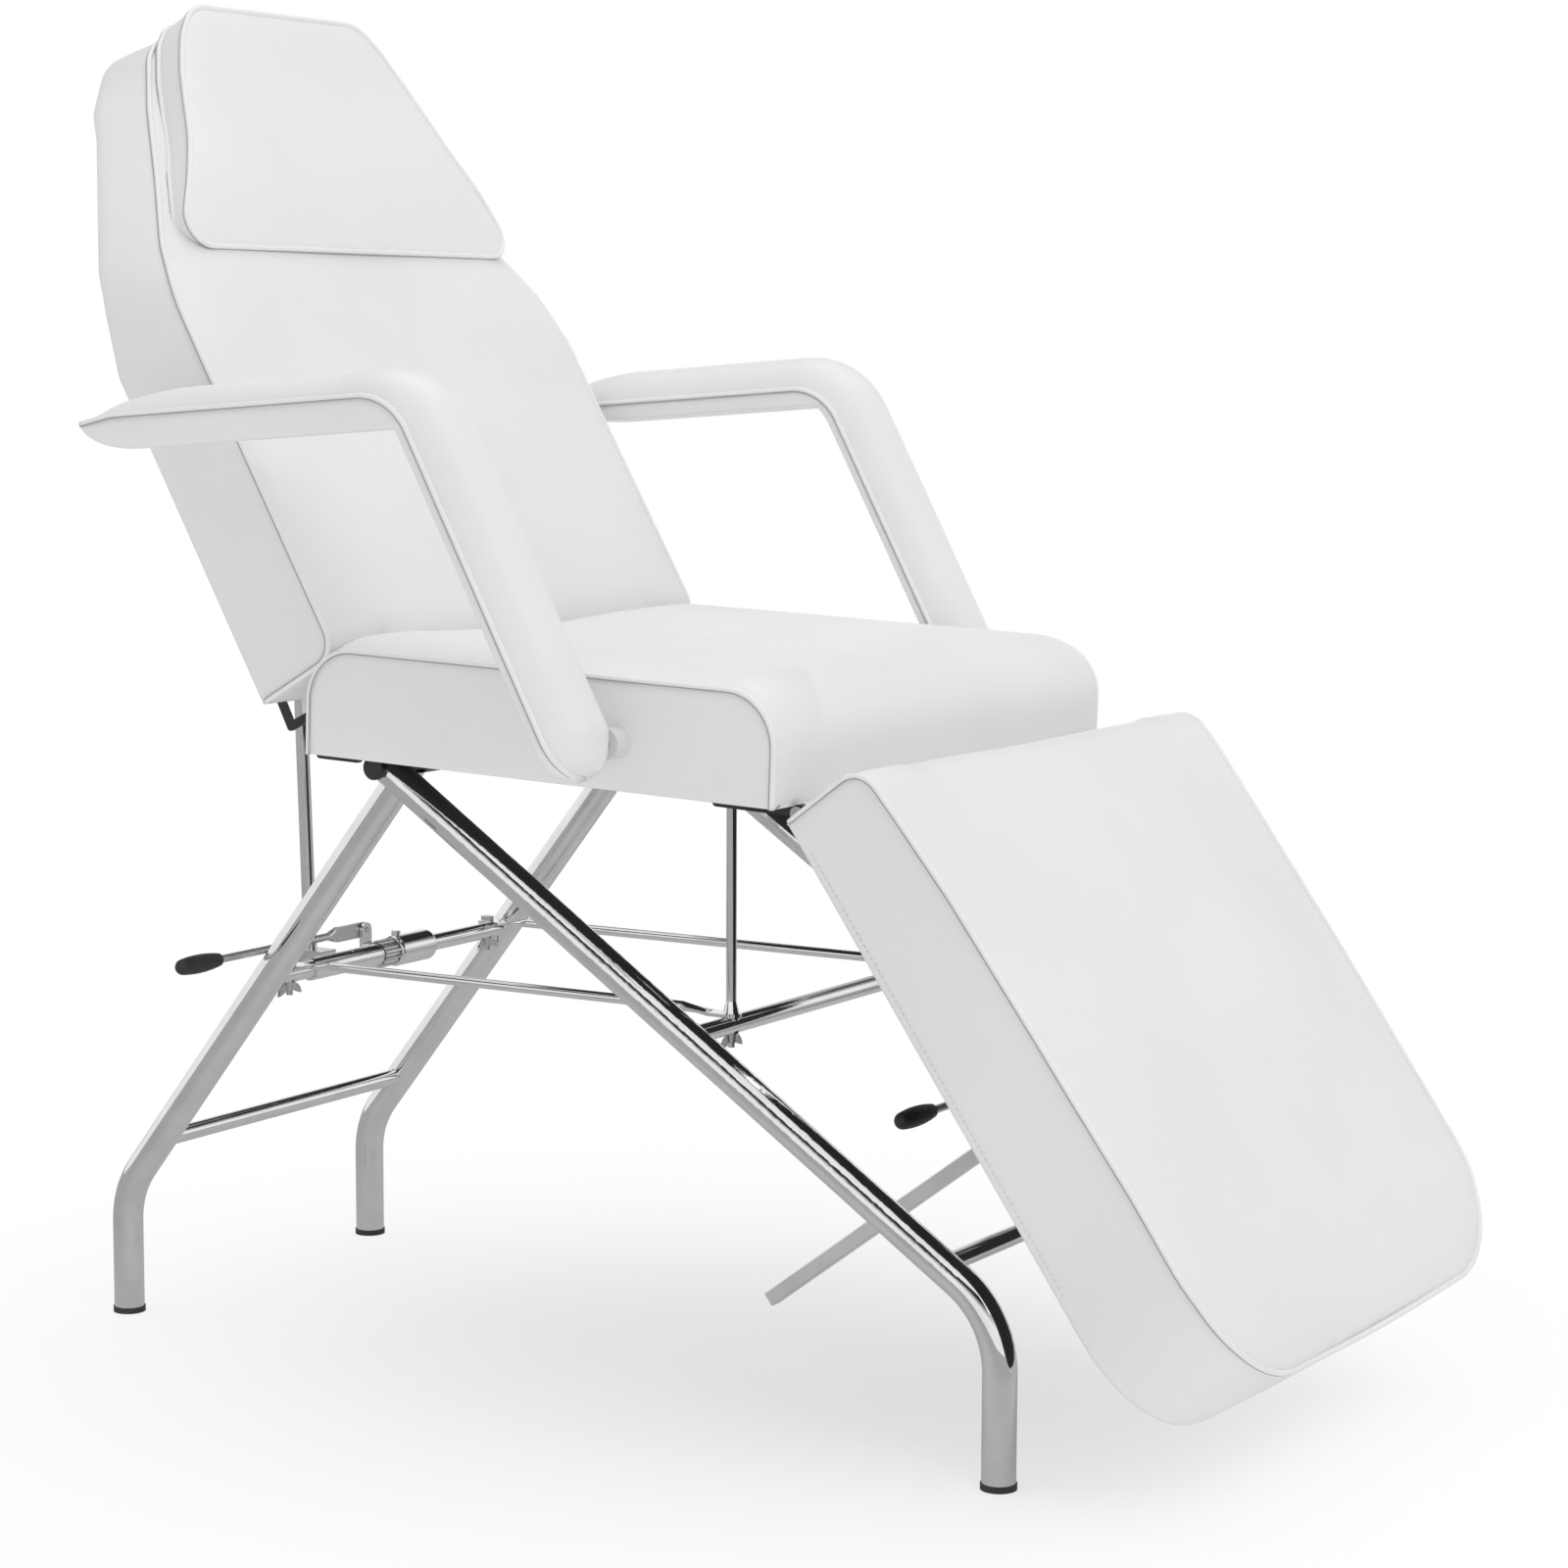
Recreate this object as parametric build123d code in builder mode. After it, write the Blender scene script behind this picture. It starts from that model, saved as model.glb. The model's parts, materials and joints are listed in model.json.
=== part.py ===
from build123d import *
import os
from math import atan2, cos, degrees, hypot, radians, sin, tan

os.makedirs("parts", exist_ok=True)

# Beauty treatment bed, set as in the photo: backrest up, legrest lowered.
# Millimetres, +Z up. The legrest points to -Y. The sitter's right side is -X.
# Y is measured from a line just behind the cross tube; save() moves the origin
# to the middle of the footprint.
origin_shift_y = 306.83

# Bent legs: round tube, one rear pair inside one front pair
leg_radius = 16.0
leg_wall = 1.6
leg_bend_radius = 95.0
foot_flange = 6.0
foot_flange_rim = 1.0
foot_plug_height = 24.0
rear_leg_x = 206.0
rear_foot_y = 341.0
rear_bend_z = 132.0
front_leg_x = 248.0
front_foot_y = -738.0
front_bend_z = 158.0

# Cross tube that carries the seat where the legs meet
cross_tube_y = -45.0
cross_tube_z = 614.0
cross_tube_radius = 12.0
cross_tube_half = 266.0
plug_thickness = 4.0
plug_stem = 18.0
tube_wall = 1.5

# Crossbars between the legs
crossbar_radius = 9.0
rear_lower_z = 192.0
rear_upper_z = 378.0
front_lower_z = 198.0
front_upper_z = 380.0
bar_seat_depth = 1.2

# Spreader rods, their bolts and wing nuts
spreader_x = 172.0
spreader_radius = 5.0
spreader_plate_width = 20.0
spreader_plate_thickness = 3.5
spreader_plate_length = 22.0
spreader_taper = 34.0
bolt_radius = 3.5
bolt_clearance = 0.4
bolt_head_radius = 7.0
bolt_head_height = 5.0
wing_hub_radius = 6.5
wing_hub_height = 9.0
wing_reach = 18.0
wing_drop = 14.0
wing_thickness = 3.0
wing_hub_taper = 8.0
wing_low_edge_shares = (0.7, 0.3)
wing_high_edge_shares = (0.6, 0.84)
bolt_sides = 6
bolt_tail = 5.0

# Gaps between moving and fixed pieces
running_gap = 0.08
seat_gap = 0.3
side_gap = 1.0

# Seat
pad_half_width = 316.0
pad_thickness = 105.0
board_thickness = 12.0
board_inset = 14.0
seat_tilt = 1.9
seat_rear_y = -2.5
seat_rear_z = 629.5
seat_depth = 534.0
seat_rear_corner = 64.0
seat_front_corner = 82.0
seat_crown = 13.0
arc_middle = 45.0
seat_front_crown = 5.0
crown_shares = ((-1.0, 0.0), (-0.78, 1.0), (0.0, 0.5), (0.78, 1.0), (1.0, 0.0))
rail_width = 24.0
rail_height = 58.0
rail_inset = 16.0
rail_start = 150.0
rail_length = 330.0
saddle_x = 120.0
saddle_width = 40.0
saddle_wall = 3.0
saddle_ear = 18.0

# Backrest, measured along its slope from the seat corner and out from its front face
backrest_angle = 60.0
backrest_origin_ahead = 29.0
backrest_origin_rise = 112.5
backrest_low = -15.0
shoulder_s = 440.0
shoulder_radius = 120.0
neck_s = 640.0
neck_half_width = 216.0
neck_radius = 70.0
backrest_top = 716.0
backrest_top_half = 152.0
backrest_top_radius = 82.0
backrest_low_round = 26.0
backrest_crown = 7.0
backrest_low_pad = 107.0
backrest_high_pad = 68.0
outline_crown_shares = ((1.0, 0.0), (0.86, 0.75), (0.6, 1.0))
backrest_hinge_behind = 15.0
backrest_hinge_rise = 38.5

# Head pillow
pillow_gap = 0.9
pillow_low = 418.0
pillow_low_half = 280.0
pillow_low_radius = 22.0
pillow_waist_s = 548.0
pillow_waist_half = 208.0
pillow_high = 708.0
pillow_high_half = 174.0
pillow_high_radius = 70.0
pillow_low_wall = 10.0
pillow_high_wall = 27.0
pillow_crown = 8.0

# Legrest, measured down its slope from the hinge and out to its front face
legrest_angle = 55.0
legrest_hinge_ahead = 7.4817
legrest_hinge_drop = 5.5501
legrest_top_s = 9.0
legrest_back_n = 2.0
legrest_front_n = 101.0
legrest_length = 650.0
legrest_end_bow = 8.0
legrest_top_round = 38.0
legrest_corner_radius = 92.0
legrest_crown = 9.0

# Hinge ears and pins at both ends of the seat
seat_ear_x = 276.0
ear_thickness = 4.0
ear_step = 5.0
eye_radius = 8.0
hinge_pin_radius = 4.0
pin_head_radius = 6.5
pin_head_height = 3.0
ear_reach = 92.0
flange_width = 26.0
flange_thickness = 3.0
strap_width = 9.0
strap_gap = 0.3
rear_ear_end = 30.0
legrest_ear_knee = (8.0, -3.2)

# Armrests: padded posts that bend back into padded rests
arm_inner_x = 338.0
arm_width = 82.0
arm_pad_slope = 4.2
arm_post_angle = 61.4
arm_corner_y = -188.8
arm_corner_z = 982.5
arm_elbow_radius = 62.0
arm_inner_panel = 19.0
arm_outer_panel = 34.0
arm_post_panel = 12.0
arm_post_length = 394.0
arm_pad_length = 383.0
arm_shoulder_share = 0.84
arm_tail_share = 0.93
arm_under_share = 0.78
arm_tip_crown_share = 0.4
arm_tip_panel_share = 0.15
arm_tail_panel_share = 0.64
arm_core_share = 0.78
arm_crown = 34.0
arm_crown_shares = ((0.0, 0.0), (0.22, 0.78), (0.5, 1.0), (0.78, 0.78), (1.0, 0.0))
arm_pivot_y = -368.0
arm_pivot_z = 663.2
arm_core_front = 4.5
arm_core_drop = 8.0
arm_core_width = 20.0
arm_core_end_radius = 15.0
arm_bolt_radius = 6.0
arm_bush_radius = 11.0
arm_spacer_radius = 15.0

# Legrest support: square prop, its lock and the bracket on the lower front crossbar
prop_size = 15.5
prop_wall = 1.5
prop_open_y = -340.0
prop_open_z = 65.0
prop_pivot_s = 311.5591
prop_pivot_drop = 21.2451
prop_pin_radius = 4.0
front_lock_y = -630.0
lock_length = 46.0
lock_wall = 4.0
lock_gap = 0.3
trunnion_radius = 5.0
trunnion_length = 11.0
bracket_thickness = 3.0
bracket_width = 22.0
bracket_eye_radius = 13.2
prop_bracket_step = 5.0
prop_bracket_length = 70.0
prop_cheek_length = 38.0
prop_end_gap = 11.5

# Backrest support: round prop, collar on a turning sleeve of the upper rear crossbar
round_prop_radius = 7.0
round_prop_x = -105.0
collar_offset_y = 26.0
collar_length = 24.0
collar_wall = 3.5
round_prop_low = 16.0
round_prop_pivot_y = 187.0
round_prop_pivot_z = 881.0
sleeve_radius = 11.75
sleeve_start_x = -140.0
sleeve_end_x = -27.0
lock_ring_start_x = -26.0
lock_ring_end_x = -1.0
lock_ring_radius = 15.0
lock_ring_teeth = 12
lock_ring_tooth = 3.0
housing_end_x = 60.0
housing_radius = 16.5
housing_button_x = 7.2
housing_button_radius = 4.9

# Slots that leave room for the props' pins to wander while the pads swing
leg_slot_way = (-0.994, -0.113)
leg_slot_travel = 14.5
leg_slot_spare = 1.6
back_slot_way = (-0.992, -0.13)
back_slot_travel = 15.5
back_slot_spare = 2.0

# Release levers
grip_radius = 9.5
grip_length = 62.0
grip_neck = 7.0
grip_belly_share = 0.85
grip_root_share = 0.7
grip_end_share = 0.5
grip_tip_share = 0.2
lever_rod_radius = 4.0
rear_lever_y = 154.0
rear_lever_z = 406.0
rear_lever_pivot_x = -38.0
rear_grip_end_x = -333.0
front_lever_y = -607.0
front_lever_z = 314.0
front_lever_pivot_x = -20.0
front_grip_end_x = -213.0
lever_plate_length = 44.0
lever_plate_width = 16.0
lever_plate_thickness = 4.0
lever_pin_radius = 3.0
lug_thickness = 4.0
lug_gap = 0.4

# Seat struts
front_strut_radius = 5.0
strut_collar_radius = 8.0
strut_collar_height = 12.0
strut_plate = 40.0


def save(part, label):
    """Name a finished piece, move it to the bed's origin and write its STEP file."""
    placed = Pos(0, origin_shift_y, 0) * part
    placed.label = label
    export_step(placed, f"parts/{label}.step")


def lateral(x, y, z):
    """A place whose local Z axis runs across the bed."""
    return Location((x, y, z), (0, 90, 0))


def slope_plane(x, y, z, angle):
    """A side-view plane whose local X runs forward and down by angle; local Y is its normal."""
    tilt = radians(angle)
    return Plane(origin=(x, y, z), x_dir=(0, -cos(tilt), -sin(tilt)), z_dir=(-1, 0, 0))


def rise_plane(x, y, z, angle):
    """A side-view plane whose local X runs back and up by angle; local Y leans forward."""
    rise = radians(angle)
    return Plane(origin=(x, y, z), x_dir=(0, cos(rise), sin(rise)), z_dir=(1, 0, 0))


# Places that follow the seat
backrest_origin_y = seat_rear_y - backrest_origin_ahead
backrest_origin_z = seat_rear_z + backrest_origin_rise
backrest_hinge_y = seat_rear_y + backrest_hinge_behind
backrest_hinge_z = seat_rear_z + backrest_hinge_rise
seat_side = slope_plane(0, seat_rear_y, seat_rear_z, seat_tilt)
legrest_hinge = seat_side.from_local_coords((seat_depth + legrest_hinge_ahead, -legrest_hinge_drop))
legrest_hinge_y = legrest_hinge.Y
legrest_hinge_z = legrest_hinge.Z
legrest_side = slope_plane(0, legrest_hinge_y, legrest_hinge_z, legrest_angle)
prop_pivot = legrest_side.from_local_coords((prop_pivot_s, -prop_pivot_drop))
prop_pivot_y = prop_pivot.Y
prop_pivot_z = prop_pivot.Z


# Legs
def leg_tube(x, foot_y, bend_z, radius):
    """The solid round bar along one bent leg."""
    with BuildPart() as tube:
        with BuildLine():
            FilletPolyline(
                (x, foot_y, foot_flange),
                (x, foot_y, bend_z),
                (x, cross_tube_y, cross_tube_z),
                radius=leg_bend_radius,
            )
        with BuildSketch(Plane(origin=(x, foot_y, foot_flange))):
            Circle(radius)
        sweep()
    return tube.part


def leg_y(foot_y, bend_z, z):
    """Where a leg's straight upper run passes a height."""
    share = (z - bend_z) / (cross_tube_z - bend_z)
    return foot_y + share * (cross_tube_y - foot_y)


def bent_leg(x, foot_y, bend_z):
    """A hollow leg, coped round the cross tube and cut level below the seat."""
    with BuildPart() as leg:
        add(leg_tube(x, foot_y, bend_z, leg_radius))
        add(leg_tube(x, foot_y, bend_z, leg_radius - leg_wall), mode=Mode.SUBTRACT)
        with Locations(lateral(x, cross_tube_y, cross_tube_z)):
            Cylinder(cross_tube_radius, leg_bend_radius, mode=Mode.SUBTRACT)
        top = Plane(origin=(0, cross_tube_y, cross_tube_z + cross_tube_radius - side_gap))
        split(bisect_by=top, keep=Keep.BOTTOM)
    return leg.part


for side, sign in (("right", -1), ("left", 1)):
    save(bent_leg(sign * rear_leg_x, rear_foot_y, rear_bend_z), f"{side}_rear_leg")
    save(bent_leg(sign * front_leg_x, front_foot_y, front_bend_z), f"{side}_front_leg")

# Foot plugs
foot_places = []
for sign in (-1, 1):
    foot_places.append((sign * rear_leg_x, rear_foot_y, 0))
    foot_places.append((sign * front_leg_x, front_foot_y, 0))

with BuildPart() as foot_plugs:
    with Locations(*foot_places):
        Cylinder(
            leg_radius + foot_flange_rim,
            foot_flange,
            align=(Align.CENTER, Align.CENTER, Align.MIN),
        )
        Cylinder(
            leg_radius - leg_wall,
            foot_plug_height,
            align=(Align.CENTER, Align.CENTER, Align.MIN),
        )
    chamfer(foot_plugs.edges().group_by(Axis.Z)[-1], leg_wall)
save(foot_plugs.part, "foot_plugs")


# Cross tube
with BuildPart() as cross_tube:
    with Locations(lateral(0, cross_tube_y, cross_tube_z)):
        Cylinder(cross_tube_radius, cross_tube_half * 2)
        Cylinder(cross_tube_radius - tube_wall, cross_tube_half * 2, mode=Mode.SUBTRACT)
save(cross_tube.part, "cross_tube")

with BuildPart() as cross_tube_plugs:
    for sign in (-1, 1):
        plug_x = sign * (cross_tube_half + plug_thickness / 2)
        with Locations(lateral(plug_x, cross_tube_y, cross_tube_z)):
            Cylinder(cross_tube_radius, plug_thickness)
        with Locations(lateral(sign * (cross_tube_half - plug_stem / 2), cross_tube_y, cross_tube_z)):
            Cylinder(cross_tube_radius - tube_wall, plug_stem)
    rims = cross_tube_plugs.edges().filter_by(GeomType.CIRCLE).sort_by(Axis.X)
    fillet([rims[0], rims[-1]], tube_wall)
save(cross_tube_plugs.part, "cross_tube_plugs")


# Crossbars
rear_upper_y = leg_y(rear_foot_y, rear_bend_z, rear_upper_z)
rear_lower_y = leg_y(rear_foot_y, rear_bend_z, rear_lower_z)
front_upper_y = leg_y(front_foot_y, front_bend_z, front_upper_z)
front_lower_y = leg_y(front_foot_y, front_bend_z, front_lower_z)
rear_bar_seat = rear_upper_z + crossbar_radius - bar_seat_depth
front_bar_seat = front_upper_z + crossbar_radius - bar_seat_depth


def crossbar(x, foot_y, bend_z, y, z, drilled):
    """A tube between two legs, its ends coped; a drilled one has flats for bolted rods."""
    with BuildPart() as bar:
        with Locations(lateral(0, y, z)):
            Cylinder(crossbar_radius, x * 2)
            Cylinder(crossbar_radius - tube_wall, x * 2, mode=Mode.SUBTRACT)
        for sign in (-1, 1):
            add(leg_tube(sign * x, foot_y, bend_z, leg_radius), mode=Mode.SUBTRACT)
        if drilled:
            for sign in (-1, 1):
                with Locations((sign * spreader_x, y, z)):
                    Cylinder(crossbar_radius - bar_seat_depth, crossbar_radius * 2 - bar_seat_depth * 2)
                for way in (-1, 1):
                    flat_z = z + way * crossbar_radius
                    with Locations((sign * spreader_x, y, flat_z)):
                        Box(
                            spreader_plate_width + side_gap,
                            crossbar_radius * 2,
                            bar_seat_depth * 2,
                            mode=Mode.SUBTRACT,
                        )
                with Locations((sign * spreader_x, y, z)):
                    Cylinder(bolt_radius + bolt_clearance, crossbar_radius * 2, mode=Mode.SUBTRACT)
    return bar.part


rear_pair = (rear_leg_x, rear_foot_y, rear_bend_z)
front_pair = (front_leg_x, front_foot_y, front_bend_z)
save(crossbar(*rear_pair, rear_lower_y, rear_lower_z, False), "rear_lower_crossbar")
save(crossbar(*rear_pair, rear_upper_y, rear_upper_z, True), "rear_upper_crossbar")
save(crossbar(*front_pair, front_lower_y, front_lower_z, False), "front_lower_crossbar")
save(crossbar(*front_pair, front_upper_y, front_upper_z, True), "front_upper_crossbar")


# Spreader rods
def spreader_end(y, seat_z, way):
    """Plate, taper and start of the round rod at one end; way points along the rod."""
    plate_mid = seat_z + spreader_plate_thickness / 2
    taper_y = y + way * spreader_plate_length
    round_y = taper_y + way * spreader_taper
    with BuildPart() as end:
        with BuildSketch(Plane.XY.offset(seat_z)):
            with Locations((0, y)):
                Circle(spreader_plate_width / 2)
            with Locations((0, (y + taper_y) / 2)):
                Rectangle(spreader_plate_width, spreader_plate_length)
        extrude(amount=spreader_plate_thickness)
        with BuildSketch(Plane(origin=(0, taper_y, plate_mid), x_dir=(1, 0, 0), z_dir=(0, way, 0))):
            Rectangle(spreader_plate_width, spreader_plate_thickness)
        round_start = (0, round_y, seat_z + spreader_radius)
        with BuildSketch(Plane(origin=round_start, x_dir=(1, 0, 0), z_dir=(0, way, 0))):
            Circle(spreader_radius)
        loft()
        with Locations((0, y, plate_mid)):
            Cylinder(bolt_radius + bolt_clearance, spreader_plate_thickness * 2, mode=Mode.SUBTRACT)
    return end.part


def spreader_rod(x):
    """A round rod from the rear crossbar to the front one, with pressed flat ends."""
    reach = spreader_plate_length + spreader_taper
    start = Vector(0, rear_upper_y - reach, rear_bar_seat + spreader_radius)
    finish = Vector(0, front_upper_y + reach, front_bar_seat + spreader_radius)
    with BuildPart() as rod:
        add(spreader_end(rear_upper_y, rear_bar_seat, -1))
        add(spreader_end(front_upper_y, front_bar_seat, 1))
        with BuildLine():
            Line(start, finish)
        with BuildSketch(Plane(origin=start, x_dir=(1, 0, 0), z_dir=(0, -1, 0))):
            Circle(spreader_radius)
        sweep()
    return Pos(x, 0, 0) * rod.part


save(spreader_rod(-spreader_x), "right_spreader_rod")
save(spreader_rod(spreader_x), "left_spreader_rod")

# Bolts through the rods and crossbars; the fourth place is the front strut's own stud
bolt_places = [
    (-spreader_x, rear_upper_y, rear_bar_seat),
    (spreader_x, rear_upper_y, rear_bar_seat),
    (spreader_x, front_upper_y, front_bar_seat),
]
bar_flat_height = crossbar_radius * 2 - bar_seat_depth * 2
nut_places = []
for x, y, seat_z in bolt_places + [(-spreader_x, front_upper_y, front_bar_seat)]:
    nut_places.append((x, y, seat_z - bar_flat_height))
shank_length = spreader_plate_thickness + bar_flat_height + wing_hub_height + bolt_tail

with BuildPart() as spreader_bolts:
    for x, y, seat_z in bolt_places:
        top = seat_z + spreader_plate_thickness
        with BuildSketch(Plane(origin=(x, y, top))):
            RegularPolygon(bolt_head_radius, bolt_sides)
        extrude(amount=bolt_head_height)
        with Locations((x, y, top - shank_length / 2)):
            Cylinder(bolt_radius, shank_length)
save(spreader_bolts.part, "spreader_bolts")


# Wing nuts
with BuildPart() as wing_nuts:
    for x, y, seat_z in nut_places:
        with BuildSketch(Plane(origin=(x, y, seat_z), z_dir=(0, 0, -1))):
            Circle(wing_hub_radius)
        extrude(amount=wing_hub_height, taper=wing_hub_taper)
        for way in (-1, 1):
            low_out, low_down = wing_low_edge_shares
            high_out, high_down = wing_high_edge_shares
            wing_start = (x, y - wing_thickness / 2, seat_z)
            wing_plane = Plane(origin=wing_start, x_dir=(1, 0, 0), z_dir=(0, 1, 0))
            with BuildSketch(wing_plane):
                with BuildLine():
                    Spline(
                        (way * (wing_hub_radius - tube_wall), tube_wall),
                        (way * wing_reach * low_out, wing_drop * low_down),
                        (way * wing_reach, wing_drop),
                    )
                    Spline(
                        (way * wing_reach, wing_drop),
                        (way * wing_reach * high_out, wing_drop * high_down),
                        (way * (wing_hub_radius - tube_wall * 2), wing_hub_height - tube_wall),
                    )
                    Line(
                        (way * (wing_hub_radius - tube_wall * 2), wing_hub_height - tube_wall),
                        (way * (wing_hub_radius - tube_wall), tube_wall),
                    )
                make_face()
            extrude(amount=wing_thickness)
        with Locations((x, y, seat_z)):
            Cylinder(bolt_radius, shank_length, mode=Mode.SUBTRACT)
save(wing_nuts.part, "wing_nuts")


# Seat
seat_slope = radians(seat_tilt)


def seat_plane(x):
    """Side-view plane of the seat: local X forward from its rear edge, local Y up from its base."""
    return slope_plane(x, seat_rear_y, seat_rear_z, seat_tilt)


def seat_base_z(y):
    """Height of the seat's underside."""
    return seat_rear_z - (seat_rear_y - y) * tan(seat_slope)


def seat_profile(share):
    """Side profile of the seat pad; share says how much of the crown it has."""
    top = pad_thickness + share * seat_crown
    front = seat_depth + share * seat_front_crown
    rear = seat_rear_corner + share * seat_crown
    rear_high = (0, top - rear)
    near = 1 - cos(radians(arc_middle))
    rear_mid = (rear * near, top - rear * near)
    rear_top = (rear, top)
    front_top = (front - seat_front_corner, top)
    front_mid = (
        front - seat_front_corner * near,
        top - seat_front_corner * near,
    )
    front_high = (front, top - seat_front_corner)
    with BuildLine() as edge:
        Polyline((seat_depth, 0), (0, 0), rear_high)
        ThreePointArc(rear_high, rear_mid, rear_top)
        Line(rear_top, front_top)
        ThreePointArc(front_top, front_mid, front_high)
        Line(front_high, (seat_depth, 0))
    return edge.line


def plate_in(plane_of, start, length, low, height, half_width):
    """A flat board lying in a pad's side-view plane."""
    with BuildPart() as board:
        with BuildSketch(plane_of(half_width)):
            with Locations((start + length / 2, low + height / 2)):
                Rectangle(length, height)
        extrude(amount=half_width * 2)
    return board.part


seat_board_start = board_inset
seat_board_length = seat_depth - board_inset * 2
seat_board = plate_in(
    seat_plane, seat_board_start, seat_board_length, 0, board_thickness, pad_half_width - board_inset
)


def seat_rail(sign):
    """Wooden rail that stands on the board inside the pad and takes an armrest bolt."""
    mid = sign * (pad_half_width - rail_inset - rail_width / 2)
    with BuildPart() as rail:
        with BuildSketch(seat_plane(mid + rail_width / 2)):
            with Locations((rail_start + rail_length / 2, board_thickness + rail_height / 2)):
                Rectangle(rail_length, rail_height)
        extrude(amount=rail_width)
    return rail.part


arm_bolt_cut = pad_half_width * 2

with BuildPart() as seat_rails:
    for sign in (-1, 1):
        add(seat_rail(sign))
    with Locations(lateral(0, arm_pivot_y, arm_pivot_z)):
        Cylinder(arm_bolt_radius, arm_bolt_cut, mode=Mode.SUBTRACT)

with BuildPart() as seat_cushion:
    for x_share, crown_share in crown_shares:
        with BuildSketch(seat_plane(x_share * pad_half_width)):
            add(seat_profile(crown_share))
            make_face()
    loft()
    add(seat_board, mode=Mode.SUBTRACT)
    for sign in (-1, 1):
        add(seat_rail(sign), mode=Mode.SUBTRACT)
    with Locations(lateral(0, arm_pivot_y, arm_pivot_z)):
        Cylinder(arm_bolt_radius, arm_bolt_cut, mode=Mode.SUBTRACT)
save(seat_cushion.part, "seat_cushion")
save(seat_board, "seat_board")
save(seat_rails.part, "seat_rails")

# Saddles that clamp the cross tube to the seat board
with BuildPart() as seat_saddles:
    base_z = seat_base_z(cross_tube_y)
    outer = cross_tube_radius + saddle_wall
    for sign in (-1, 1):
        saddle_start = (sign * saddle_x - saddle_width / 2, 0, 0)
        with BuildSketch(Plane(origin=saddle_start, x_dir=(0, 1, 0), z_dir=(1, 0, 0))):
            with Locations((cross_tube_y, cross_tube_z)):
                Circle(outer)
            with Locations((cross_tube_y, (cross_tube_z + base_z) / 2)):
                Rectangle(outer * 2, base_z - cross_tube_z)
            with Locations((cross_tube_y, base_z - saddle_wall / 2)):
                Rectangle((outer + saddle_ear) * 2, saddle_wall)
            with Locations((cross_tube_y, cross_tube_z)):
                Circle(cross_tube_radius, mode=Mode.SUBTRACT)
            with Locations((cross_tube_y, cross_tube_z + outer)):
                Rectangle(cross_tube_radius * 2, outer * 2, mode=Mode.SUBTRACT)
        extrude(amount=saddle_width)
    add(seat_board, mode=Mode.SUBTRACT)
save(seat_saddles.part, "seat_saddles")


# Backrest
def backrest_face(n):
    """Plane parallel to the backrest's front: local X across the bed, local Y up the slope."""
    rise = radians(backrest_angle)
    normal = Vector(0, -sin(rise), cos(rise))
    origin = Vector(0, backrest_origin_y, backrest_origin_z) + normal * n
    return Plane(origin=origin, x_dir=(1, 0, 0), z_dir=normal)


backrest_taper = degrees(atan2(backrest_low_pad - backrest_high_pad, backrest_top - backrest_low))
back_foot = backrest_face(-backrest_low_pad).from_local_coords((0, backrest_low))


def backrest_back_plane(x):
    """Side-view plane of the backrest's back: local X up it, local Y into the pad."""
    return rise_plane(x, back_foot.Y, back_foot.Z, backrest_angle + backrest_taper)


def backrest_back_face():
    """Plane of the backrest's back: local X across the bed, local Y up its slope."""
    rise = radians(backrest_angle + backrest_taper)
    origin = Vector(0, back_foot.Y, back_foot.Z)
    return Plane(origin=origin, x_dir=(1, 0, 0), z_dir=(0, -sin(rise), cos(rise)))


def backrest_outline(scale, inset, low, shift=0):
    """Front outline: straight sides, shoulders, and a narrower head with rounded corners."""
    middle = (low + backrest_top) / 2
    half = pad_half_width - inset

    def at(x, s):
        return (x * scale, middle + (s - middle) * scale - shift)

    with BuildSketch(mode=Mode.PRIVATE) as outline:
        with BuildLine():
            Polyline(
                at(-half, low + inset),
                at(half, low + inset),
                at(half, shoulder_s - inset / 2),
                at(neck_half_width - inset, neck_s - inset / 2),
                at(backrest_top_half - inset, backrest_top - inset),
                at(inset - backrest_top_half, backrest_top - inset),
                at(inset - neck_half_width, neck_s - inset / 2),
                at(-half, shoulder_s - inset / 2),
                close=True,
            )
        make_face()
        rows = outline.vertices().group_by(Axis.Y)
        fillet(rows[1], shoulder_radius * scale)
        rows = outline.vertices().group_by(Axis.Y)
        fillet(rows[-2], neck_radius * scale)
        rows = outline.vertices().group_by(Axis.Y)
        fillet(rows[-1], (backrest_top_radius - inset) * scale)
    return outline.sketch


with BuildPart() as backrest_board:
    with BuildSketch(backrest_back_face()):
        add(backrest_outline(1, board_inset, backrest_low, backrest_low))
    extrude(amount=board_thickness)

with BuildPart() as backrest_cushion:
    with BuildSketch(backrest_face(0)):
        add(backrest_outline(1, 0, backrest_low))
    extrude(amount=-backrest_low_pad)
    split(bisect_by=backrest_back_face(), keep=Keep.TOP)
    front_low = backrest_cushion.edges().filter_by(Axis.X).sort_by(Axis.Y)[0]
    fillet(front_low, backrest_low_round)
    for scale, crown_share in outline_crown_shares:
        with BuildSketch(backrest_face(crown_share * backrest_crown)):
            add(backrest_outline(scale, 0, backrest_low + backrest_low_round))
    loft()
    add(backrest_board.part, mode=Mode.SUBTRACT)
save(backrest_cushion.part, "backrest_cushion")
save(backrest_board.part, "backrest_board")


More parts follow.
